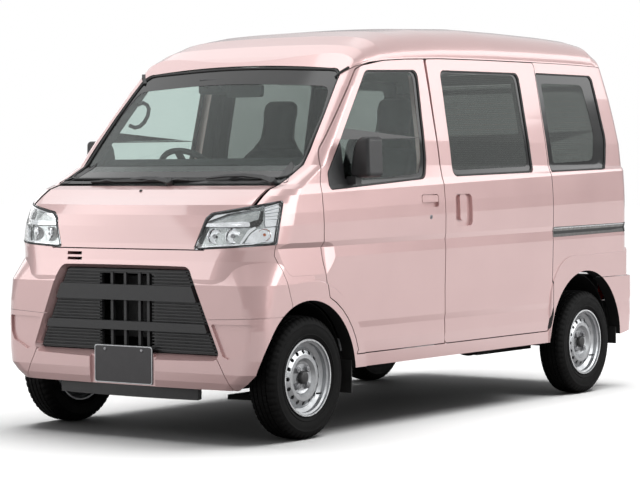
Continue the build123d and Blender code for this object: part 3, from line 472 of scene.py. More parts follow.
fadeFloor(studio)
floor.data.materials.append(finish["floor"])
print("finishes on every node")


def clearPanes(spec):
    # the lamps beside and before the van leave no glare on the window glass
    for name, spot, aim, size, power, reach in spec["lamps"]:
        if reach == "van":
            group = bpy.data.objects[name].light_linking.receiver_collection
            for pane in spec["clearPanes"]:
                group.objects.link(nodes[pane])
            for entry in group.collection_objects:
                entry.light_linking.link_state = "EXCLUDE"


clearPanes(studio)


def along(y):
    return y + frontAxle


def wordOf(x):
    return "left" if x > 0 else "right"


def rect(a0, a1, b0, b1, r):
    # a rounded rectangle as the corners of an outline
    return [(a0, b0, r), (a1, b0, r), (a1, b1, r), (a0, b1, r)]


def upright(y):
    # a frame across the van: its first axis to the left, its second up, its third to the rear
    turn = Matrix(((1, 0, 0, 0), (0, 0, 1, 0), (0, 1, 0, 0), (0, 0, 0, 1)))
    return Matrix.Translation((0, along(y), 0)) @ turn


def addMesh(name, verts, faces, look, body="body_shell", smooth=True):
    mesh = bpy.data.meshes.new(name)
    mesh.from_pydata([tuple(v) for v in verts], [], faces)
    mesh.validate()
    tidy = bmesh.new()
    tidy.from_mesh(mesh)
    bmesh.ops.recalc_face_normals(tidy, faces=tidy.faces)
    tidy.to_mesh(mesh)
    tidy.free()
    piece = bpy.data.objects.new(name, mesh)
    bpy.context.scene.collection.objects.link(piece)
    mesh.materials.append(finish[look])
    if smooth:
        mesh.shade_smooth()
        mesh.set_sharp_from_angle(angle=math.radians(35))
    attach(piece, body)
    return piece


def soften(piece, width, segments=2):
    cut = piece.modifiers.new("soften", "BEVEL")
    cut.width, cut.segments, cut.limit_method = width, segments, "ANGLE"
    return piece


def addTube(name, points, radius, look, body="body_shell", closed=False, sides=3):
    data = bpy.data.curves.new(name, "CURVE")
    data.dimensions = "3D"
    data.bevel_depth, data.bevel_resolution, data.use_fill_caps = radius, sides, True
    line = data.splines.new("POLY")
    line.points.add(len(points) - 1)
    for spot, point in zip(line.points, points):
        spot.co = (*point, 1)
    line.use_cyclic_u = closed
    line.use_smooth = True
    data.materials.append(finish[look])
    piece = bpy.data.objects.new(name, data)
    bpy.context.scene.collection.objects.link(piece)
    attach(piece, body)
    return piece


def surfaceOf(*names):
    verts, faces = [], []
    for name in names:
        mesh = nodes[name].data
        start = len(verts)
        verts += [v.co.copy() for v in mesh.vertices]
        faces += [[start + i for i in poly.vertices] for poly in mesh.polygons]
    return BVHTree.FromPolygons(verts, faces)


def onSide(tree, side, y, z, lift=0.0):
    # where the side of the van is at this length and height
    hit = tree.ray_cast(Vector((side * 1.2, along(y), z)), Vector((-side, 0, 0)))[0]
    return Vector((hit.x + side * lift, along(y), z)) if hit else None


def onFront(tree, x, z, lift=0.0):
    # a ray that slips through a gap is tried again a little above and below
    for shift in (0.0, 0.005, -0.005, 0.010, -0.010, 0.016):
        hit = tree.ray_cast(Vector((x, -3, z + shift)), Vector((0, 1, 0)))[0]
        if hit:
            return Vector((x, hit.y - lift, z))
    return None


def onRear(tree, x, z, lift=0.0):
    hit = tree.ray_cast(Vector((x, 3, z)), Vector((0, -1, 0)))[0]
    return Vector((x, hit.y + lift, z)) if hit else None


def rounded(corners, steps=7):
    # a closed outline through (a, b, radius) corners
    points = []
    count = len(corners)
    for i, (a, b, r) in enumerate(corners):
        here = Vector((a, b))
        back = Vector(corners[i - 1][:2]) - here
        ahead = Vector(corners[(i + 1) % count][:2]) - here
        if r <= 0:
            points.append(here)
            continue
        half = back.angle(ahead) / 2
        reach = min(r / math.tan(half), back.length * 0.49, ahead.length * 0.49)
        centre = here + (back.normalized() + ahead.normalized()).normalized() * (reach / math.cos(half))
        start, end = here + back.normalized() * reach, here + ahead.normalized() * reach
        a0, a1 = (start - centre), (end - centre)
        turn = a0.angle_signed(a1)
        for k in range(steps + 1):
            t = k / steps
            c, s = math.cos(-turn * t), math.sin(-turn * t)
            points.append(centre + Vector((a0.x * c - a0.y * s, a0.x * s + a0.y * c)))
    return points


def starLoop(outline, centre, count=144):
    # the outline met by evenly turned rays from one middle, so that two outlines pair up
    loop = []
    size = len(outline)
    for k in range(count):
        turn = 2 * math.pi * k / count
        ray = Vector((math.cos(turn), math.sin(turn)))
        best = 0
        for i in range(size):
            p, q = outline[i] - centre, outline[(i + 1) % size] - centre
            edge = q - p
            cross = ray.x * edge.y - ray.y * edge.x
            if abs(cross) < 1e-12:
                continue
            t = (p.x * edge.y - p.y * edge.x) / cross
            u = (p.x * ray.y - p.y * ray.x) / cross
            if t > 0 and -1e-6 <= u <= 1 + 1e-6:
                best = max(best, t)
        loop.append(centre + ray * best)
    return loop


def addBand(name, place3, outer, inner, thick, look, body, rings=4, count=144):
    # a flat ring between two outlines, laid on a surface by place3(a, b, lift)
    outer, inner = rounded(outer), rounded(inner)
    centre = sum(inner, Vector((0, 0))) / len(inner)
    a, b = starLoop(outer, centre, count), starLoop(inner, centre, count)
    verts, faces = [], []
    for ring in range(rings + 1):
        for p, q in zip(a, b):
            spot = p.lerp(q, ring / rings)
            verts.append(place3(spot.x, spot.y, thick))
    if any(v is None for v in verts):
        print("band", name, "left its surface at", sum(v is None for v in verts), "points")
        good = next(v for v in verts if v is not None)
        verts = [v if v is not None else good for v in verts]
    for ring in range(rings):
        for k in range(count):
            n = (k + 1) % count
            faces.append((ring * count + k, ring * count + n, (ring + 1) * count + n, (ring + 1) * count + k))
    return addMesh(name, verts, faces, look, body)


def addPlate(name, corners, frameAt, depth, look, body="body_shell", bevel=0.0):
    # an outline pushed out along a frame's third axis
    outline = rounded(corners)
    low = [frameAt @ Vector((p.x, p.y, 0)) for p in outline]
    high = [frameAt @ Vector((p.x, p.y, depth)) for p in outline]
    size = len(outline)
    faces = [tuple(range(size)), tuple(range(2 * size - 1, size - 1, -1))]
    faces += [(i, (i + 1) % size, size + (i + 1) % size, size + i) for i in range(size)]
    piece = addMesh(name, low + high, faces, look, body)
    return soften(piece, bevel) if bevel else piece


def turned(profile, count, place3, name, look, body, wave=None):
    # a profile of (radius, reach) turned round a wheel's axis
    verts, faces = [], []
    size = len(profile)
    for k in range(count):
        angle = 2 * math.pi * k / count
        for i, (r, x) in enumerate(profile):
            shift = wave(k, i) if wave else 0
            verts.append(place3(r - shift, x, angle))
    for k in range(count):
        n = (k + 1) % count
        for i in range(size - 1):
            faces.append((k * size + i, k * size + i + 1, n * size + i + 1, n * size + i))
    return addMesh(name, verts, faces, look, body)


frontWindow = [(0.160, 1.074, 0.022), (0.930, 1.121, 0.045), (0.962, 1.200, 0.150), (0.992, 1.632, 0.034),
               (0.560, 1.616, 0.060), (0.157, 1.150, 0.030)]
slidingWindow = [(1.175, 1.131, 0.035), (1.932, 1.150, 0.035), (1.920, 1.650, 0.038), (1.186, 1.638, 0.038)]
quarterWindow = [(2.100, 1.152, 0.012), (2.690, 1.166, 0.060), (2.738, 1.330, 0.160), (2.682, 1.662, 0.040),
                 (2.092, 1.657, 0.012)]


def drawn(outline, low=0.0, high=0.0, fore=0.0, aft=0.0):
    # an outline pulled in from its lower, upper, front and rear sides
    a = [c[0] for c in outline]
    b = [c[1] for c in outline]
    middleA, middleB = (min(a) + max(a)) / 2, (min(b) + max(b)) / 2
    return [(p + (fore if p < middleA else -aft), q + (low if q < middleB else -high), r)
            for p, q, r in outline]


# black edges of the glass
sideSeals = {
    "door": {"outline": frontWindow, "node": "door_window_", "rim": (0.026, 0.012, 0.012, 0.034),
             "bead": 0.0045},
    "slide": {"outline": slidingWindow, "node": "sliding_door_windows", "rim": (0.030, 0.014, 0.014, 0.034),
              "bead": 0.0050},
    "quarter": {"outline": quarterWindow, "node": "quarter_windows", "rim": (0.046, 0.052, 0.056, 0.112),
                "bead": 0.0040}}


def sealSide(label, spec, side, word):
    node = spec["node"] + (word if spec["node"].endswith("_") else "")
    tree = surfaceOf(node)
    body = "door_front_" + word if label == "door" else "body_shell"
    low, high, fore, aft = spec["rim"]
    edge = drawn(spec["outline"], 0.004, 0.004, 0.004, 0.004)
    inner = drawn(spec["outline"], low, high, fore, aft)
    addBand(label + "GlassEdge_" + word, lambda a, b, lift: onSide(tree, side, a, b, lift), edge, inner,
            0.0008, "blackGloss", body)
    points = [onSide(tree, side, p.x, p.y, 0.002) for p in starLoop(
        rounded(drawn(spec["outline"], 0.004, 0.004, 0.004, 0.004)), Vector((
            sum(c[0] for c in spec["outline"]) / len(spec["outline"]),
            sum(c[1] for c in spec["outline"]) / len(spec["outline"]))), 120)]
    addTube(label + "GlassSeal_" + word, [p for p in points if p], spec["bead"], "rubber", body, closed=True)


for label, spec in sideSeals.items():
    for side, word in bothSides:
        sealSide(label, spec, side, word)
print("side glass edges laid")

screen = {
    "edge": [(-0.634, 1.128, 0.03), (0.634, 1.128, 0.03), (0.606, 1.42, 0.4), (0.577, 1.585, 0.12),
             (0.545, 1.617, 0.06), (0.0, 1.641, 6.0), (-0.545, 1.617, 0.06), (-0.577, 1.585, 0.12),
             (-0.606, 1.42, 0.4)],
    "clear": [(-0.619, 1.160, 0.05), (0.619, 1.160, 0.05), (0.592, 1.42, 0.4), (0.556, 1.540, 0.05),
              (0.0, 1.568, 6.0), (-0.556, 1.540, 0.05), (-0.592, 1.42, 0.4)]}


def sealScreen(spec):
    tree = surfaceOf("windscreen")
    addBand("screenEdge", lambda a, b, lift: onFront(tree, a, b, lift), spec["edge"], spec["clear"], 0.001,
            "blackGloss", "body_shell", count=240)
    loop = starLoop(rounded(spec["edge"]), Vector((0, 1.38)), 200)
    points = [onFront(tree, p.x, p.y, 0.003) for p in loop]
    addTube("screenSeal", [p for p in points if p], 0.006, "rubber", closed=True)


sealScreen(screen)
print("windscreen edge laid")

tyre = {"radius": 0.267, "width": 0.145, "bead": 0.1685, "pitches": 54,
        "grooves": (-0.034, -0.012, 0.012, 0.034), "grooveWidth": 0.0055, "grooveDepth": 0.007, "lug": 0.005}


def tyreProfile(spec):
    half, top = spec["width"] / 2, spec["radius"]
    side = [(spec["bead"], half - 0.015), (spec["bead"] + 0.006, half - 0.0085), (0.182, half - 0.005),
            (0.186, half - 0.0020), (0.189, half - 0.0020), (0.191, half - 0.0035), (0.205, half - 0.0008),
            (0.218, half - 0.0002), (0.228, half - 0.0012), (0.231, half - 0.0002), (0.234, half - 0.0018),
            (0.245, half - 0.0055), (0.2525, half - 0.0100), (0.2575, half - 0.0145), (0.2620, half - 0.0185)]
    tread = []
    for centre in spec["grooves"]:
        w, d = spec["grooveWidth"] / 2, spec["grooveDepth"]
        crown = top - 0.0012 * (abs(centre) / 0.034) ** 2
        tread += [(crown, centre - w), (crown - d, centre - w * 0.6), (crown - d, centre + w * 0.6),
                  (crown, centre + w)]
    tread = [(top - 0.0030, -half + 0.024)] + tread + [(top - 0.0030, half - 0.024)]
    return [(r, -x) for r, x in side] + tread + [(r, x) for r, x in reversed(side)]


def addTyre(word, body, centre, side, spec):
    profile = tyreProfile(spec)
    size = len(profile)
    shoulder = {i for i in range(size) if 0.2500 < profile[i][0] and abs(profile[i][1]) > 0.040}
    ribs = {i for i in range(size) if abs(profile[i][1]) <= 0.040 and profile[i][0] > spec["radius"] - 0.004}

    def wave(k, i):
        step = k % 6
        if i in shoulder:
            return spec["lug"] if step in (0, 1) else 0
        if i in ribs:
            return 0.0022 if step == (3 if profile[i][1] > 0 else 5) else 0
        return 0

    def place3(r, x, angle):
        return Vector((centre[0] + side * x, centre[1] + r * math.sin(angle),
                       centre[2] + r * math.cos(angle)))
    piece = turned(profile, spec["pitches"] * 6, place3, "tyre_" + word, "tyre", body, wave)
    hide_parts("tyre_" + word)


wheels = {"front_left": (0.6525, along(0), 0.267), "front_right": (-0.6525, along(0), 0.267),
          "rear_left": (0.6525, along(2.45), 0.267), "rear_right": (-0.6525, along(2.45), 0.267)}
for word, centre in wheels.items():
    side = 1 if centre[0] > 0 else -1
    addTyre(word, "wheel_" + word, centre, side, tyre)
    cap = [(0.0001, 0.0505), (0.020, 0.0500), (0.0255, 0.0480), (0.0285, 0.0440), (0.0290, 0.0300)]
    turned(cap, 40, lambda r, x, t, c=centre, s=side: Vector((c[0] + s * x, c[1] + r * math.sin(t),
                                                            c[2] + r * math.cos(t))),
           "hubCap_" + word, "blackTrim", "wheel_" + word)
print("tyres and caps turned")


def addPatch(name, place3, corners, lift, thick, look, body="body_shell", rings=4, count=72, bevel=0.0):
    # a filled outline laid at some height over a surface, with its edge turned down
    outline = rounded(corners)
    centre = sum(outline, Vector((0, 0))) / len(outline)
    loop = starLoop(outline, centre, count)
    verts = [place3(p.x, p.y, lift - thick) for p in loop]
    for ring in range(rings):
        verts += [place3(*p.lerp(centre, ring / rings), lift) for p in loop]
    verts.append(place3(*centre, lift))
    if any(v is None for v in verts):
        print("patch", name, "left its surface at", sum(v is None for v in verts), "points")
        good = next(v for v in verts if v is not None)
        verts = [v if v is not None else good for v in verts]
    faces = []
    for ring in range(rings):
        for k in range(count):
            n = (k + 1) % count
            faces.append((ring * count + k, ring * count + n, (ring + 1) * count + n, (ring + 1) * count + k))
    last = rings * count
    faces += [(last + k, last + (k + 1) % count, len(verts) - 1) for k in range(count)]
    faces.append(tuple(range(count - 1, -1, -1)))
    piece = addMesh(name, verts, faces, look, body)
    return soften(piece, bevel) if bevel else piece


def addBar(name, points, up, width, thick, look, body="body_shell", taper=None, bevel=0.0):
    # a flat bar along a line of points, its width lying across the up direction
    verts, faces = [], []
    missed = sum(point is None for point in points)
    if missed:
        print("bar", name, "left its surface at", missed, "points")
    points = [point for point in points if point is not None]
    count = len(points)
    for i, point in enumerate(points):
        ahead = points[min(i + 1, count - 1)] - points[max(i - 1, 0)]
        across = ahead.cross(up).normalized()
        lift = across.cross(ahead).normalized()
        share = taper[i] if taper else 1.0
        for a, b in ((-1, 0), (1, 0), (1, 1), (-1, 1)):
            verts.append(point + across * (a * width * share / 2) + lift * (b * thick))
    for i in range(count - 1):
        for k in range(4):
            n = (k + 1) % 4
            faces.append((4 * i + k, 4 * i + n, 4 * i + 4 + n, 4 * i + 4 + k))
    faces += [(3, 2, 1, 0), tuple(range(4 * count - 4, 4 * count))]
    piece = addMesh(name, verts, faces, look, body)
    return soften(piece, bevel) if bevel else piece


lamp = {
    "point": (0.620, -0.300), "turn": 36, "edge": [(-0.231, 0.825, 0.008), (0.127, 0.848, 0.008),
    (0.154, 1.033, 0.009), (-0.150, 0.981, 0.022), (-0.176, 0.960, 0.022)], "gasket": 0.0075,
    "bright": {  # pieces of the silver bezel: outline and height under the lens
        "TopRim": ([(-0.176, 0.944, 0), (-0.166, 0.944, 0), (-0.150, 0.966, 0.01), (0.020, 0.993, 0.004),
                    (0.060, 0.999, 0.004), (0.072, 1.011, 0), (-0.147, 0.976, 0.018),
                    (-0.172, 0.957, 0.018)], -0.007),
        "LeftRim": ([(-0.222, 0.833, 0), (-0.210, 0.833, 0), (-0.205, 0.860, 0), (-0.182, 0.922, 0),
                     (-0.170, 0.944, 0), (-0.178, 0.950, 0)], -0.007),
        "Bar": ([(-0.184, 0.919, 0), (0.012, 0.923, 0), (0.016, 0.934, 0.004), (0.006, 0.945, 0.004),
                 (-0.172, 0.939, 0)],
                -0.006),
        "Foot": ([(-0.222, 0.832, 0), (0.120, 0.855, 0), (0.120, 0.862, 0), (-0.026, 0.852, 0),
                  (-0.217, 0.842, 0)],
                 -0.007),
        "Slope": ([(-0.034, 0.845, 0), (-0.018, 0.848, 0), (0.010, 0.893, 0.02), (0.040, 0.918, 0.004),
                   (0.032, 0.926, 0.004), (0.002, 0.905, 0.02)], -0.006),
        "Outer": ([(0.076, 0.922, 0.006), (0.133, 0.926, 0.004), (0.147, 1.026, 0.004),
                   (0.074, 1.010, 0.004)], -0.013),
        "Corner": ([(-0.010, 0.853, 0), (0.121, 0.860, 0), (0.132, 0.922, 0), (0.044, 0.914, 0.01),
                    (0.014, 0.893, 0.01)],
                   -0.014)},
    "dark": {"Post": ([(0.058, 0.990, 0.002), (0.071, 0.991, 0.002), (0.068, 0.945, 0.002),
                       (0.048, 0.950, 0.002)], -0.003),
             "PostFoot": ([(0.048, 0.953, 0.002), (0.067, 0.948, 0.002), (0.052, 0.930, 0.002),
                           (0.016, 0.917, 0.002), (0.013, 0.943, 0.002)], -0.003)},
    "bowls": [(-0.138, 0.882, 0.031), (-0.060, 0.884, 0.030), (0.074, 0.889, 0.026)],
    "ribs": [(0.955, 0.002), (0.967, 0.006), (0.979, 0.010), (0.991, 0.015), (1.003, 0.019)],
    "amber": (0.074, 0.889)}


def lampSpot(side, a, z, out):
    turn = math.radians(lamp["turn"])
    x = lamp["point"][0] + a * math.cos(turn) + out * math.sin(turn)
    y = lamp["point"][1] + a * math.sin(turn) - out * math.cos(turn)
    return Vector((side * x, along(y), z))


def makeLamp(spec, side, word):
    tree = surfaceOf("headlamp_lenses")
    away = lampSpot(side, 0, 0, 1) - lampSpot(side, 0, 0, 0)

    def onLamp(a, z, lift):
        hit = tree.ray_cast(lampSpot(side, a, z, 0.3), -away)[0]
        return hit + away * lift if hit else None
    edge = drawn(spec["edge"], 0.001, 0.001, 0.001, 0.001)
    inner = drawn(spec["edge"], spec["gasket"], spec["gasket"], spec["gasket"], spec["gasket"])
    addBand("lampGasket_" + word, onLamp, edge, inner, 0.0012, "rubber", "body_shell", rings=2)
    backing = drawn(spec["edge"], 0.004, 0.004, 0.006, 0.006)
    addPatch("lampBack_" + word, onLamp, backing, -0.024, 0.002, "smoke")
    for label, (corners, lift) in spec["bright"].items():
        addPatch("lamp" + label + "_" + word, onLamp, corners, lift, 0.008, "reflector", rings=2,
                 bevel=0.0012)
    for label, (corners, lift) in spec["dark"].items():
        addPatch("lamp" + label + "_" + word, onLamp, corners, lift, 0.010, "blackGloss", rings=2,
                 bevel=0.0010)
    for k, (a, z, r) in enumerate(spec["bowls"]):
        middle = onLamp(a, z, -0.024)
        across = lampSpot(side, 1, 0, 0) - lampSpot(side, 0, 0, 0)

        def bowl(radius, reach, angle, c=middle):
            rise = Vector((0, 0, radius * math.sin(angle)))
            return c + across * (radius * math.cos(angle)) + rise + away * reach
        profile = [(0.0005, 0.0016)] + [(r * t, 0.0016 + 0.010 * t * t) for t in (0.2, 0.4, 0.6, 0.8, 0.94)]
        profile += [(r, 0.0124), (r + 0.002, 0.0110), (r + 0.002, 0.002)]
        turned(profile, 36, bowl, "lampBowl" + str(k) + "_" + word, "reflector", "body_shell")
        bulb = [(0.0070, 0.002), (0.0070, 0.009), (0.0055, 0.0125), (0.0001, 0.0140)]
        turned(bulb, 20, bowl, "lampBulb" + str(k) + "_" + word, "amber" if k == 2 else "steel", "body_shell")
    for k, (z, rise) in enumerate(spec["ribs"]):
        points = [onLamp(0.078 + 0.064 * t / 4, z + rise * t / 4, -0.0095) for t in range(5)]
        addBar("lampRib" + str(k) + "_" + word, points, away, 0.0045, 0.003, "reflector", bevel=0.0008)


for side, word in bothSides:
    makeLamp(lamp, side, word)
print("headlamps filled")

wipers = {
    "blades": [[(-0.433, 1.112), (-0.33, 1.114), (-0.20, 1.116), (-0.07, 1.116), (0.030, 1.114)],
               [(-0.047, 1.116), (0.09, 1.118), (0.235, 1.120), (0.37, 1.122), (0.505, 1.122)]],
    "arms": [[(-0.200, 1.121, 0.026), (-0.12, 1.128, 0.034), (-0.04, 1.126, 0.034), (0.050, 1.112, 0.022)],
             [(0.235, 1.126, 0.026), (0.33, 1.136, 0.036), (0.43, 1.139, 0.038), (0.53, 1.130, 0.034),
              (0.600, 1.113, 0.020)]]}


def addWipers(spec):
    tree = surfaceOf("windscreen", "cowl_panel", "bonnet", "body_side_left", "body_side_right")
    up = Vector((0, -0.7, 0.7))
    for k, line in enumerate(spec["blades"]):
        points = [onFront(tree, x, z, 0.010) for x, z in line]
        addBar("wiperBlade" + str(k), points, up, 0.015, 0.007, "rubber", taper=(0.55, 0.9, 1.2, 0.9, 0.55),
               bevel=0.001)
        addBar("wiperLip" + str(k), [p - up * 0.009 for p in points], up, 0.004, 0.010, "rubber")
        for share in (1, 3):
            seat = points[share]
            addBar("wiperClaw" + str(k) + str(share), [seat - Vector((0.05, 0, -0.001)), seat + up * 0.010,
                   seat + Vector((0.05, 0, 0.001))], up, 0.010, 0.005, "blackTrim", bevel=0.001)
    for k, line in enumerate(spec["arms"]):
        points = [onFront(tree, x, z, lift) for x, z, lift in line]
        addBar("wiperArm" + str(k), points, up, 0.016, 0.008, "blackTrim",
               taper=[0.7 + 0.9 * i / (len(points) - 1) for i in range(len(points))], bevel=0.002)
        turn = Matrix.Translation(points[-1]) @ up.to_track_quat("Z", "Y").to_matrix().to_4x4()
        addPlate("wiperPivot" + str(k), rect(-0.016, 0.016, -0.016, 0.016, 0.0155),
                 turn @ Matrix.Translation((0, 0, -0.022)), 0.034, "blackTrim", bevel=0.003)
    spot = tree.ray_cast(Vector((-0.051, along(-0.198), 1.6)), Vector((0, 0, -1)))[0]
    turned([(0.0001, 0.006), (0.0042, 0.0058), (0.006, 0.0040), (0.007, -0.002)], 20,
           lambda r, h, t: spot + Vector((r * math.cos(t), r * 1.3 * math.sin(t), h)),
           "washerJet", "blackTrim", "bonnet")


addWipers(wipers)
print("wipers laid")

corners = {
    "garnish": [(0.597, 1.109, 0.004), (0.665, 1.109, 0.004), (0.567, 1.204, 0.004), (0.560, 1.180, 0.010)],
    "drip": [(0.560, 0.435), (0.585, 0.455), (0.605, 0.480)]}


def addCorners(spec):
    tree = surfaceOf("windscreen", "body_side_left", "body_side_right", "cowl_panel", "roof_panel", "bonnet")
    for side, word in bothSides:
        outline = [(side * a, b, r) for a, b, r in spec["garnish"]]
        addPatch("cowlCorner_" + word, lambda a, b, lift: onFront(tree, a, b, lift), outline, 0.003, 0.006,
                 "blackTrim", rings=3)
        points = []
        for x, y in spec["drip"]:
            hit = tree.ray_cast(Vector((side * x, along(y), 2.2)), Vector((0, 0, -1)))[0]
            points.append(hit + Vector((0, 0, -0.003)))
        addBar("roofDrip_" + word, points, Vector((0, 0, 1)), 0.020, 0.010, "rubber", bevel=0.003)


addCorners(corners)

plates = {
    "rim": rect(-0.165, 0.165, 0.237, 0.402, 0.010), "bolts": (0.105, 0.384),
    "bolt": [(0.0001, 0.004), (0.006, 0.0036), (0.0075, 0.0015), (0.0078, 0.0)],
    "front": ("plateBolt_", "body_shell", -0.384, -1, 0.0), "rear": ("rearBolt_", "tailgate", 2.9465, 1,
                                                                     0.575)}


def addPlateRim(spec, end):
    # the bright edge and the two bolts of one number plate
    boltName, body, y, way, rise = spec[end]
    face = along(y)
    outer = [(a, b + rise, r) for a, b, r in spec["rim"]]
    inner = [(a * 0.976, b + rise + (0.004 if b < 0.3 else -0.004), r * 0.8) for a, b, r in spec["rim"]]
    addBand("plateRim_" + end, lambda a, b, lift: Vector((a, face + way * lift, b)), outer, inner, 0.0012,
            "wheelSilver", body, rings=1)
    reach, height = spec["bolts"]
    for x in (-reach, reach):
        turned(spec["bolt"], 24, lambda r, h, t, c=x: Vector((c + r * math.cos(t), face + way * h,
                                                              height + rise + r * math.sin(t))),
               boltName + wordOf(x), "steel", body)


addPlateRim(plates, "front")
addPlateRim(plates, "rear")
print("plates rimmed")

# rail: where a bright strip paints the highlight on the slide rail's top edge; groove: where a black strip
# paints the shade in its slot
sideTrim = {
    "rail": [(2.100, 0.862), (2.30, 0.865), (2.50, 0.868), (2.70, 0.871), (2.850, 0.873)],
    "groove": [(2.100, 0.843), (2.30, 0.846), (2.50, 0.849), (2.70, 0.852), (2.842, 0.854)],
    "cap": [(2.846, 0.834, 0.006), (2.892, 0.836, 0.006), (2.892, 0.884, 0.006), (2.846, 0.884, 0.006)],
    "key": (0.950, 0.944, 0.0105),
    "mirror": [(0.716, 1.126, 0.018), (0.832, 1.132, 0.014), (0.826, 1.308, 0.012), (0.752, 1.310, 0.050)]}


def addSideTrim(spec, side, word):
    rail = surfaceOf("slide_rails", "body_side_" + word)
    face = Vector((side, 0, 0))
    # painted highlight: a thin bright strip along the rail's top edge
    addBar("railEdge_" + word, [onSide(rail, side, y, z + 0.004, 0.0005) for y, z in spec["rail"]], face,
           0.0045, 0.0022, "wheelBright")
    # painted shade: a black strip lies where the rail's slot is in shade
    addBar("railGroove_" + word, [onSide(rail, side, y, z, -0.001) for y, z in spec["groove"]], face, 0.016,
           0.0016, "rubber")
    addPatch("railCap_" + word, lambda a, b, lift: onSide(rail, side, a, b, lift), spec["cap"], 0.003, 0.006,
             "blackTrim", rings=2, bevel=0.001)
    door = surfaceOf("door_front_" + word)
    y, z, size = spec["key"]
    spot = onSide(door, side, y, z)
    turned([(size, -0.001), (size, 0.0012), (size * 0.82, 0.0022), (size * 0.78, 0.0010), (0.0001, 0.0010)],
           28, lambda r, h, t: spot + Vector((side * h, r * math.cos(t), r * math.sin(t))),
           "keyRing_" + word, "steel", "door_front_" + word)
    # painted shade: a thin black strip stands for the shade inside the keyhole
    slot = [spot + Vector((side * 0.0011, 0, z)) for z in (-0.0050, 0.0050)]
    addBar("keySlot_" + word, slot, face, 0.0022, 0.0006, "rubber", "door_front_" + word)
    line = drawn([(side * a, b, r) for a, b, r in spec["mirror"]], 0.010, 0.010, 0.009, 0.009)
    addPlate("mirrorGlass_" + word, line, upright(0.4118), 0.0012, "mirror", "door_front_" + word)


for side, word in bothSides:
    addSideTrim(sideTrim, side, word)
print("side trim fitted")

rear = {
    "lampBack": 2.966, "amber": rect(0.552, 0.676, 0.540, 0.574, 0.006),
    "clear": rect(0.552, 0.676, 0.473, 0.500, 0.006), "redRibs": (0.554, 0.674, 0.5065, 0.005),
    "brow": [(-0.205, 0.992, 0.010), (0.205, 0.992, 0.010), (0.198, 1.034, 0.012), (-0.198, 1.034, 0.012)],
    "grip": rect(-0.085, 0.085, 0.996, 1.012, 0.005), "heat": (1.190, 0.029),
    "edge": [(-0.575, 1.130, 0.05), (0.575, 1.130, 0.05), (0.500, 1.620, 0.05), (-0.500, 1.620, 0.05)]}


def trimRear(spec):
    gate = surfaceOf("tailgate", "tailgate_window")
    back = along(spec["lampBack"])
    near, far, low, pitch = spec["redRibs"]
    for side, word in bothSides:
        for label, look in (("amber", "amber"), ("clear", "reflector")):
            outline = [(side * a, b, r) for a, b, r in spec[label]]
            addPatch("tailLamp_" + label + "_" + word, lambda a, b, lift: Vector((a, back + lift, b)),
                     outline, 0.001, 0.003, look, rings=1, bevel=0.0006)
        for k in range(6):
            ends = [Vector((side * x, back, low + k * pitch)) for x in (near, far)]
            addBar("tailLampRib" + str(k) + "_" + word, ends, Vector((0, 1, 0)), 0.0022, 0.0009, "redLens")
    addPatch("gateBrow", lambda a, b, lift: onRear(gate, a, b, lift), spec["brow"], 0.014, 0.020, "paint",
             "tailgate", bevel=0.004)
    addPatch("gateGrip", lambda a, b, lift: onRear(gate, a, b, lift), spec["grip"], 0.0155, 0.010,
             "blackTrim", "tailgate", rings=1, bevel=0.001)
    for x in (-0.14, 0.14):
        spot = onRear(gate, x, 0.988, 0.006)
        ends = [spot - Vector((0.022, 0, 0)), spot + Vector((0.022, 0, 0))]
        addBar("plateLight_" + wordOf(x), ends, Vector((0, 0, -1)), 0.014, 0.006, "lens", "tailgate",
               bevel=0.001)
    for k in range(13):
        z = spec["heat"][0] + spec["heat"][1] * k
        line = [onRear(gate, -0.50 + 0.1 * i, z, -0.0060) for i in range(11)]
        if all(line):
            addTube("heatLine" + str(k), line, 0.0005, "amber", "tailgate", sides=1)
    pivot = onRear(gate, 0.0, 1.105, 0.0)
    turned([(0.0001, 0.034), (0.010, 0.033), (0.015, 0.028), (0.018, 0.006), (0.021, -0.004)], 28,
           lambda r, h, t: pivot + Vector((r * math.cos(t), h, r * math.sin(t))), "rearWiperPivot",
           "blackTrim", "tailgate")
    arm = [pivot + Vector((0, 0.030, 0)), onRear(gate, -0.10, 1.118, 0.030),
           onRear(gate, -0.22, 1.150, 0.022)]
    addBar("rearWiperArm", arm, Vector((0, 1, 0)), 0.016, 0.007, "blackTrim", "tailgate",
           taper=(1.3, 1.0, 0.7), bevel=0.002)
    blade = [onRear(gate, x, z, 0.008) for x, z in ((-0.44, 1.176), (-0.33, 1.164), (-0.22, 1.150),
                                                    (-0.12, 1.140), (-0.02, 1.132))]
    addBar("rearWiperBlade", blade, Vector((0, 1, 0)), 0.012, 0.011, "rubber", "tailgate",
           taper=(0.5, 0.9, 1.2, 0.9, 0.5), bevel=0.001)
    glass = surfaceOf("tailgate_window")
    outer = [(a * 0.995, b, r) for a, b, r in spec["edge"]]
    inner = [(a * 0.93, b + (0.03 if b < 1.3 else -0.03), r) for a, b, r in spec["edge"]]
    addBand("gateGlassEdge", lambda a, b, lift: onRear(glass, a, b, lift), outer, inner, 0.0008, "blackGloss",
            "tailgate")


trimRear(rear)
print("tail dressed")


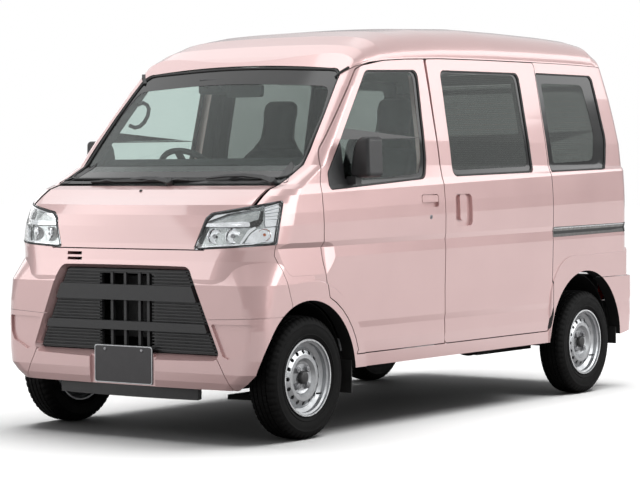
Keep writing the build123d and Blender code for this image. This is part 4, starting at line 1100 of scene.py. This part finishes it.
def dressWheel(word, body, centre, side):
    def spot(r, x, t):
        return Vector((centre[0] + side * x, centre[1] + r * math.sin(t), centre[2] + r * math.cos(t)))
    turned([(0.1605, 0.0640), (0.1630, 0.0668), (0.1665, 0.0672), (0.1682, 0.0655), (0.1680, 0.0630)], 96,
           spot, "rimLip_" + word, "wheelBright", body)
    for k in range(4):
        turn = math.radians(45 + 90 * k)
        at = spot(0.050, 0.0, turn)

        def nutSpot(r, x, t, c=at):
            return c + Vector((side * x, r * math.sin(t), r * math.cos(t)))
        turned([(0.0001, 0.0445), (0.0062, 0.0440), (0.0072, 0.0425), (0.0072, 0.0300)], 18, nutSpot,
               "wheelStud" + str(k) + "_" + word, "steel", body)
        turned([(0.0128, 0.0425), (0.0138, 0.0420), (0.0150, 0.0300), (0.0170, 0.0285)], 6, nutSpot,
               "wheelNut" + str(k) + "_" + word, "steel", body)
    stem = [spot(0.133, 0.030, 2.2), spot(0.131, 0.046, 2.2), spot(0.128, 0.058, 2.2)]
    addTube("tyreValve_" + word, stem, 0.0042, "rubber", body)


for word, centre in wheels.items():
    dressWheel(word, "wheel_" + word, centre, 1 if centre[0] > 0 else -1)
print("wheels dressed")

# each pad is a stack of sections: place along its length, low and high depth, half width
seat = {
    "middle": 0.345, "voxel": 0.009, "cap": 0.020,
    "cushion": [(0.598, 0.722, 0.838, 0.205), (0.625, 0.712, 0.852, 0.224), (0.72, 0.710, 0.846, 0.230),
                (0.86, 0.710, 0.834, 0.231), (0.98, 0.710, 0.824, 0.231), (1.06, 0.712, 0.818, 0.226),
                (1.115, 0.722, 0.800, 0.205)],
    "back": [(0.822, 1.062, 1.122, 0.190), (0.86, 1.058, 1.136, 0.216), (0.98, 1.070, 1.158, 0.224),
             (1.10, 1.098, 1.186, 0.224), (1.19, 1.124, 1.206, 0.220), (1.24, 1.140, 1.216, 0.196),
             (1.285, 1.156, 1.228, 0.150), (1.33, 1.172, 1.242, 0.114), (1.40, 1.186, 1.258, 0.104),
             (1.47, 1.200, 1.272, 0.102), (1.512, 1.212, 1.276, 0.090), (1.530, 1.222, 1.270, 0.066)],
    "seams": (-0.150, 0.150)}
bench = {
    "voxel": 0.014, "cap": 0.018,
    "cushion": [(1.630, 0.778, 0.862, 0.560), (1.665, 0.768, 0.874, 0.588), (1.80, 0.766, 0.872, 0.592),
                (1.95, 0.766, 0.868, 0.592), (2.035, 0.772, 0.860, 0.575), (2.052, 0.788, 0.846, 0.550)],
    "back": [(0.880, 2.020, 2.082, 0.560), (0.91, 2.014, 2.096, 0.588), (1.05, 2.036, 2.118, 0.592),
             (1.20, 2.062, 2.142, 0.592), (1.33, 2.088, 2.162, 0.580), (1.360, 2.102, 2.156, 0.550)],
    "seams": (-0.200, 0.200), "leg": [(1.66, 0.667), (1.66, 0.765), (2.04, 0.765), (2.10, 0.667)]}


def sewPad(name, sections, upright, middle, spec, around=44):
    # a closed, crowned form through its sections, sides drawn in between the corners
    verts, faces = [], []
    rows = []
    for i in range(len(sections) - 1):
        a, b = sections[i], sections[i + 1]
        cuts = max(2, int(abs(b[0] - a[0]) / 0.022))
        for k in range(cuts):
            t = k / cuts
            t = t * t * (3 - 2 * t) * 0.4 + t * 0.6
            rows.append([p + (q - p) * t for p, q in zip(a, b)])
    rows.append(list(sections[-1]))
    for at, low, high, half in rows:
        for k in range(around):
            turn = 2 * math.pi * k / around
            c, s = math.cos(turn), math.sin(turn)
            across = half * math.copysign(abs(c) ** 0.42, c)
            depth = (low + high) / 2 + (high - low) / 2 * math.copysign(abs(s) ** 0.55, s)
            spot = (middle + across, along(depth), at) if upright else (middle + across, along(at), depth)
            verts.append(Vector(spot))
    last = len(rows) - 1
    for i in range(last):
        for k in range(around):
            n = (k + 1) % around
            faces.append((i * around + k, i * around + n, (i + 1) * around + n, (i + 1) * around + k))
    for row in (0, last):
        verts.append(sum(verts[row * around:(row + 1) * around], Vector()) / around)
        faces += [(row * around + k, row * around + (k + 1) % around, len(verts) - 1) for k in range(around)]
    piece = addMesh(name, verts, faces, "cloth")
    remesh = piece.modifiers.new("even", "REMESH")
    remesh.mode, remesh.voxel_size, remesh.use_smooth_shade = "VOXEL", spec["voxel"], True
    applyAll(piece)
    return piece


def applyAll(piece):
    graph = bpy.context.evaluated_depsgraph_get()
    mesh = bpy.data.meshes.new_from_object(piece.evaluated_get(graph))
    piece.modifiers.clear()
    piece.data = mesh


def puffPad(piece, spec):
    # the pad is blown up as cloth, each point held to a short reach
    before = [v.co.copy() for v in piece.data.vertices]
    cloth = piece.modifiers.new("puff", "CLOTH")
    cloth.settings.quality = 5
    cloth.settings.use_pressure = True
    cloth.settings.uniform_pressure_force = 4.0
    cloth.settings.effector_weights.gravity = 0
    cloth.point_cache.frame_start, cloth.point_cache.frame_end = 1, 20
    for frameNumber in range(1, 21):
        bpy.context.scene.frame_set(frameNumber)
    applyAll(piece)
    bpy.context.scene.frame_set(1)
    for v, start in zip(piece.data.vertices, before):
        move = v.co - start
        if move.length > spec["cap"]:
            v.co = start + move * (spec["cap"] / move.length)


def sinkSeams(piece, middle, seams, upright, spec):
    # two sewn lines run the length of the pad, and a third crosses it
    mesh = piece.data
    ys = [v.co.y for v in mesh.vertices]
    zs = [v.co.z for v in mesh.vertices]
    cross = min(zs) + 0.30 * (max(zs) - min(zs)) if upright else min(ys) + 0.34 * (max(ys) - min(ys))
    normals = [v.normal.copy() for v in mesh.vertices]
    for v, normal in zip(mesh.vertices, normals):
        outward = -normal.y if upright else normal.z
        if outward < 0.25:
            continue
        near = min(abs(v.co.x - middle - s) for s in seams)
        if upright and v.co.z > 1.24 and spec is seat:
            near = abs(v.co.z - 1.275)
        near = min(near, abs((v.co.z if upright else v.co.y) - cross) + 0.002)
        v.co -= normal * 0.0075 * math.exp(-(near / 0.0085) ** 2)
    mesh.update()


def finishPad(piece, node):
    smooth = piece.modifiers.new("fine", "SUBSURF")
    smooth.levels = smooth.render_levels = 1
    applyAll(piece)
    piece.data.shade_smooth()
    if not piece.data.materials:
        piece.data.materials.append(finish["cloth"])
    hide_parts(node)


def copyPad(piece, name, shift):
    twin = bpy.data.objects.new(name, piece.data.copy())
    bpy.context.scene.collection.objects.link(twin)
    for v in twin.data.vertices:
        v.co.x += shift
    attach(twin, "body_shell")
    return twin


def makeSeats(spec):
    for part, upright in (("cushion", False), ("back", True)):
        sections = spec[part]
        piece = sewPad("seat" + part.title() + "_left", sections, upright, spec["middle"], spec)
        puffPad(piece, spec)
        sinkSeams(piece, spec["middle"], spec["seams"], upright, spec)
        twin = copyPad(piece, "seat" + part.title() + "_right", -2 * spec["middle"])
        finishPad(piece, "front_seats")
        finishPad(twin, "front_seats")
    for side, word in bothSides:
        for k, x in enumerate((-0.21, 0.21)):
            rail = [Vector((side * spec["middle"] + x, along(y), 0.700)) for y in (0.62, 1.12)]
            addBar("seatRail" + str(k) + "_" + word, rail, Vector((0, 0, 1)), 0.030, 0.014, "underseal",
                   bevel=0.002)
        reach = spec["middle"] + 0.222
        lever = [(reach, 1.10, 0.770), (reach + 0.014, 1.06, 0.775), (reach + 0.014, 0.96, 0.768)]
        addTube("reclineLever_" + word, [Vector((side * x, along(y), z)) for x, y, z in lever], 0.008, "trim")


def makeBench(spec):
    for part, upright in (("cushion", False), ("back", True)):
        piece = sewPad("bench" + part.title(), spec[part], upright, 0.0, spec, around=60)
        puffPad(piece, spec)
        sinkSeams(piece, 0.0, spec["seams"], upright, spec)
        finishPad(piece, "rear_bench")
    for side, word in bothSides:
        x = side * 0.54
        foot = [Vector((x, along(y), z)) for y, z in spec["leg"]]
        addTube("benchLeg_" + word, foot, 0.011, "underseal")
        hinge = [Vector((x + side * reach, along(2.055), 0.835)) for reach in (-0.02, 0.03)]
        addTube("benchHinge_" + word, hinge, 0.016, "underseal")


makeSeats(seat)
print("front seats sewn")
makeBench(bench)
print("rear bench sewn")

cab = {
    "handle": [(0.395, 1.480), (0.430, 1.490), (0.462, 1.480), (0.474, 1.462), (0.466, 1.429), (0.440, 1.398),
               (0.407, 1.377), (0.370, 1.370), (0.335, 1.379)],
    "sensor": rect(-0.200, -0.012, 1.520, 1.592, 0.012), "visor": rect(-0.18, 0.18, -0.075, 0.075, 0.03),
    "belt": [(0.640, 1.075, 1.42), (0.640, 1.085, 1.10), (0.636, 1.095, 0.78)],
    "loop": rect(-0.035, 0.035, -0.02, 0.03, 0.012),
    "mirror": [(-0.036, 1.505, 0.013), (0.160, 1.505, 0.013), (0.164, 1.553, 0.013), (-0.032, 1.557, 0.013)]}


def trimCab(spec):
    for side, word in bothSides:
        line = [Vector((side * 0.570, along(y), z)) for y, z in spec["handle"]]
        addTube("grabHandle_" + word, line, 0.0095, "trim", sides=4)
        tilt = Matrix.Rotation(math.radians(9), 4, "X")
        addPlate("sunVisor_" + word, spec["visor"], Matrix.Translation((side * 0.30, along(0.56),
                                                                        1.640)) @ tilt,
                 0.016, "paleTrim", bevel=0.006)
        belt = [Vector((side * x, along(y), z)) for x, y, z in spec["belt"]]
        addBar("beltWebbing_" + word, belt, Vector((-side, 0, 0)), 0.047, 0.0015, "webbing")
        inward = Matrix(((0, 0, -side, 0), (1, 0, 0, 0), (0, 1, 0, 0), (0, 0, 0, 1)))
        addPlate("beltLoop_" + word, spec["loop"], Matrix.Translation((side * 0.632, along(1.075),
                                                                       1.42)) @ inward,
                 0.008, "trim", bevel=0.002)
    addPlate("cameraBox", spec["sensor"], upright(0.395), 0.070, "trim", bevel=0.006)
    for k, x in enumerate((-0.150, -0.060)):
        turned([(0.0001, -0.004), (0.010, -0.003), (0.013, 0.0), (0.014, 0.004)], 24,
               lambda r, h, t, c=x: Vector((c + r * math.cos(t), along(0.394) + h, 1.556 + r * math.sin(t))),
               "cameraLens" + str(k), "blackGloss", "body_shell")
    addPlate("roomMirrorGlass", spec["mirror"], upright(0.4238), 0.0012, "mirror")


trimCab(cab)
print("cab trimmed")

dash = {
    "cluster": [(-0.455, 1.085, 0.03), (-0.235, 1.085, 0.03), (-0.245, 1.165, 0.04), (-0.445, 1.165, 0.04)],
    "radio": rect(-0.095, 0.095, 1.040, 1.140, 0.006), "vents": (-0.535, -0.145, 0.145, 0.535),
    "glove": rect(0.18, 0.56, 0.930, 1.045, 0.015), "lever": [(0.345, 0.905), (0.405, 0.945), (0.435, 1.000)],
    "knob": [(0.0001, 0.030), (0.014, 0.027), (0.020, 0.014), (0.019, -0.004), (0.012, -0.018),
             (0.008, -0.022)],
    "horn": [(-0.062, -0.060, 0.03), (0.062, -0.060, 0.03), (0.070, 0.050, 0.03), (-0.070, 0.050, 0.03)]}
dashFace = surfaceOf("dashboard")


def onDash(x, z, lift):
    # the dash seen from the seats
    hit = dashFace.ray_cast(Vector((x, along(0.9), z)), Vector((0, -1, 0)))[0]
    return Vector((x, hit.y + lift, z)) if hit else None


def trimDash(spec):
    addPatch("clusterGlass", onDash, spec["cluster"], 0.006, 0.006, "blackGloss", rings=3, bevel=0.001)
    addPatch("radioFace", onDash, spec["radio"], 0.005, 0.006, "blackGloss", rings=3, bevel=0.001)
    for k, x in enumerate(spec["vents"]):
        addPatch("ventFrame" + str(k), onDash, rect(x - 0.042, x + 0.042, 1.085, 1.155, 0.010), 0.005, 0.006,
                 "trim", rings=2, bevel=0.001)
        for row in range(4):
            z = 1.098 + 0.0145 * row
            ends = [onDash(x - 0.034, z, 0.006), onDash(x + 0.034, z, 0.006)]
            if all(ends):
                addBar("ventSlat" + str(k) + str(row), ends, Vector((0, 1, 0)), 0.004, 0.004, "blackTrim")
    addPatch("gloveLid", onDash, spec["glove"], 0.004, 0.005, "trim", rings=2, bevel=0.002)
    addTube("gearLever", [Vector((0, along(y), z)) for y, z in spec["lever"]], 0.0065, "steel")
    turned(spec["knob"], 28, lambda r, h, t: Vector((r * math.cos(t), along(0.437) + r * math.sin(t),
                                                     1.012 + h)),
           "gearKnob", "blackGloss", "body_shell")
    low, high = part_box("steering_wheel")
    hub = Matrix.Translation(((low[0] + high[0]) / 2, along(0.540), 1.125))
    lean = hub @ Matrix.Rotation(math.radians(-48), 4, "X")
    addPlate("hornPad", spec["horn"], lean @ Matrix.Translation((0, 0, 0.014)), 0.014, "trim",
             "steering_wheel", bevel=0.006)
    ring = [lean @ Vector((0.180 * math.cos(t), 0.180 * math.sin(t), 0)) for t in
            [2 * math.pi * k / 64 for k in range(64)]]
    addTube("rimWrap", ring, 0.0142, "trim", "steering_wheel", closed=True, sides=4)


trimDash(dash)
print("dash dressed")
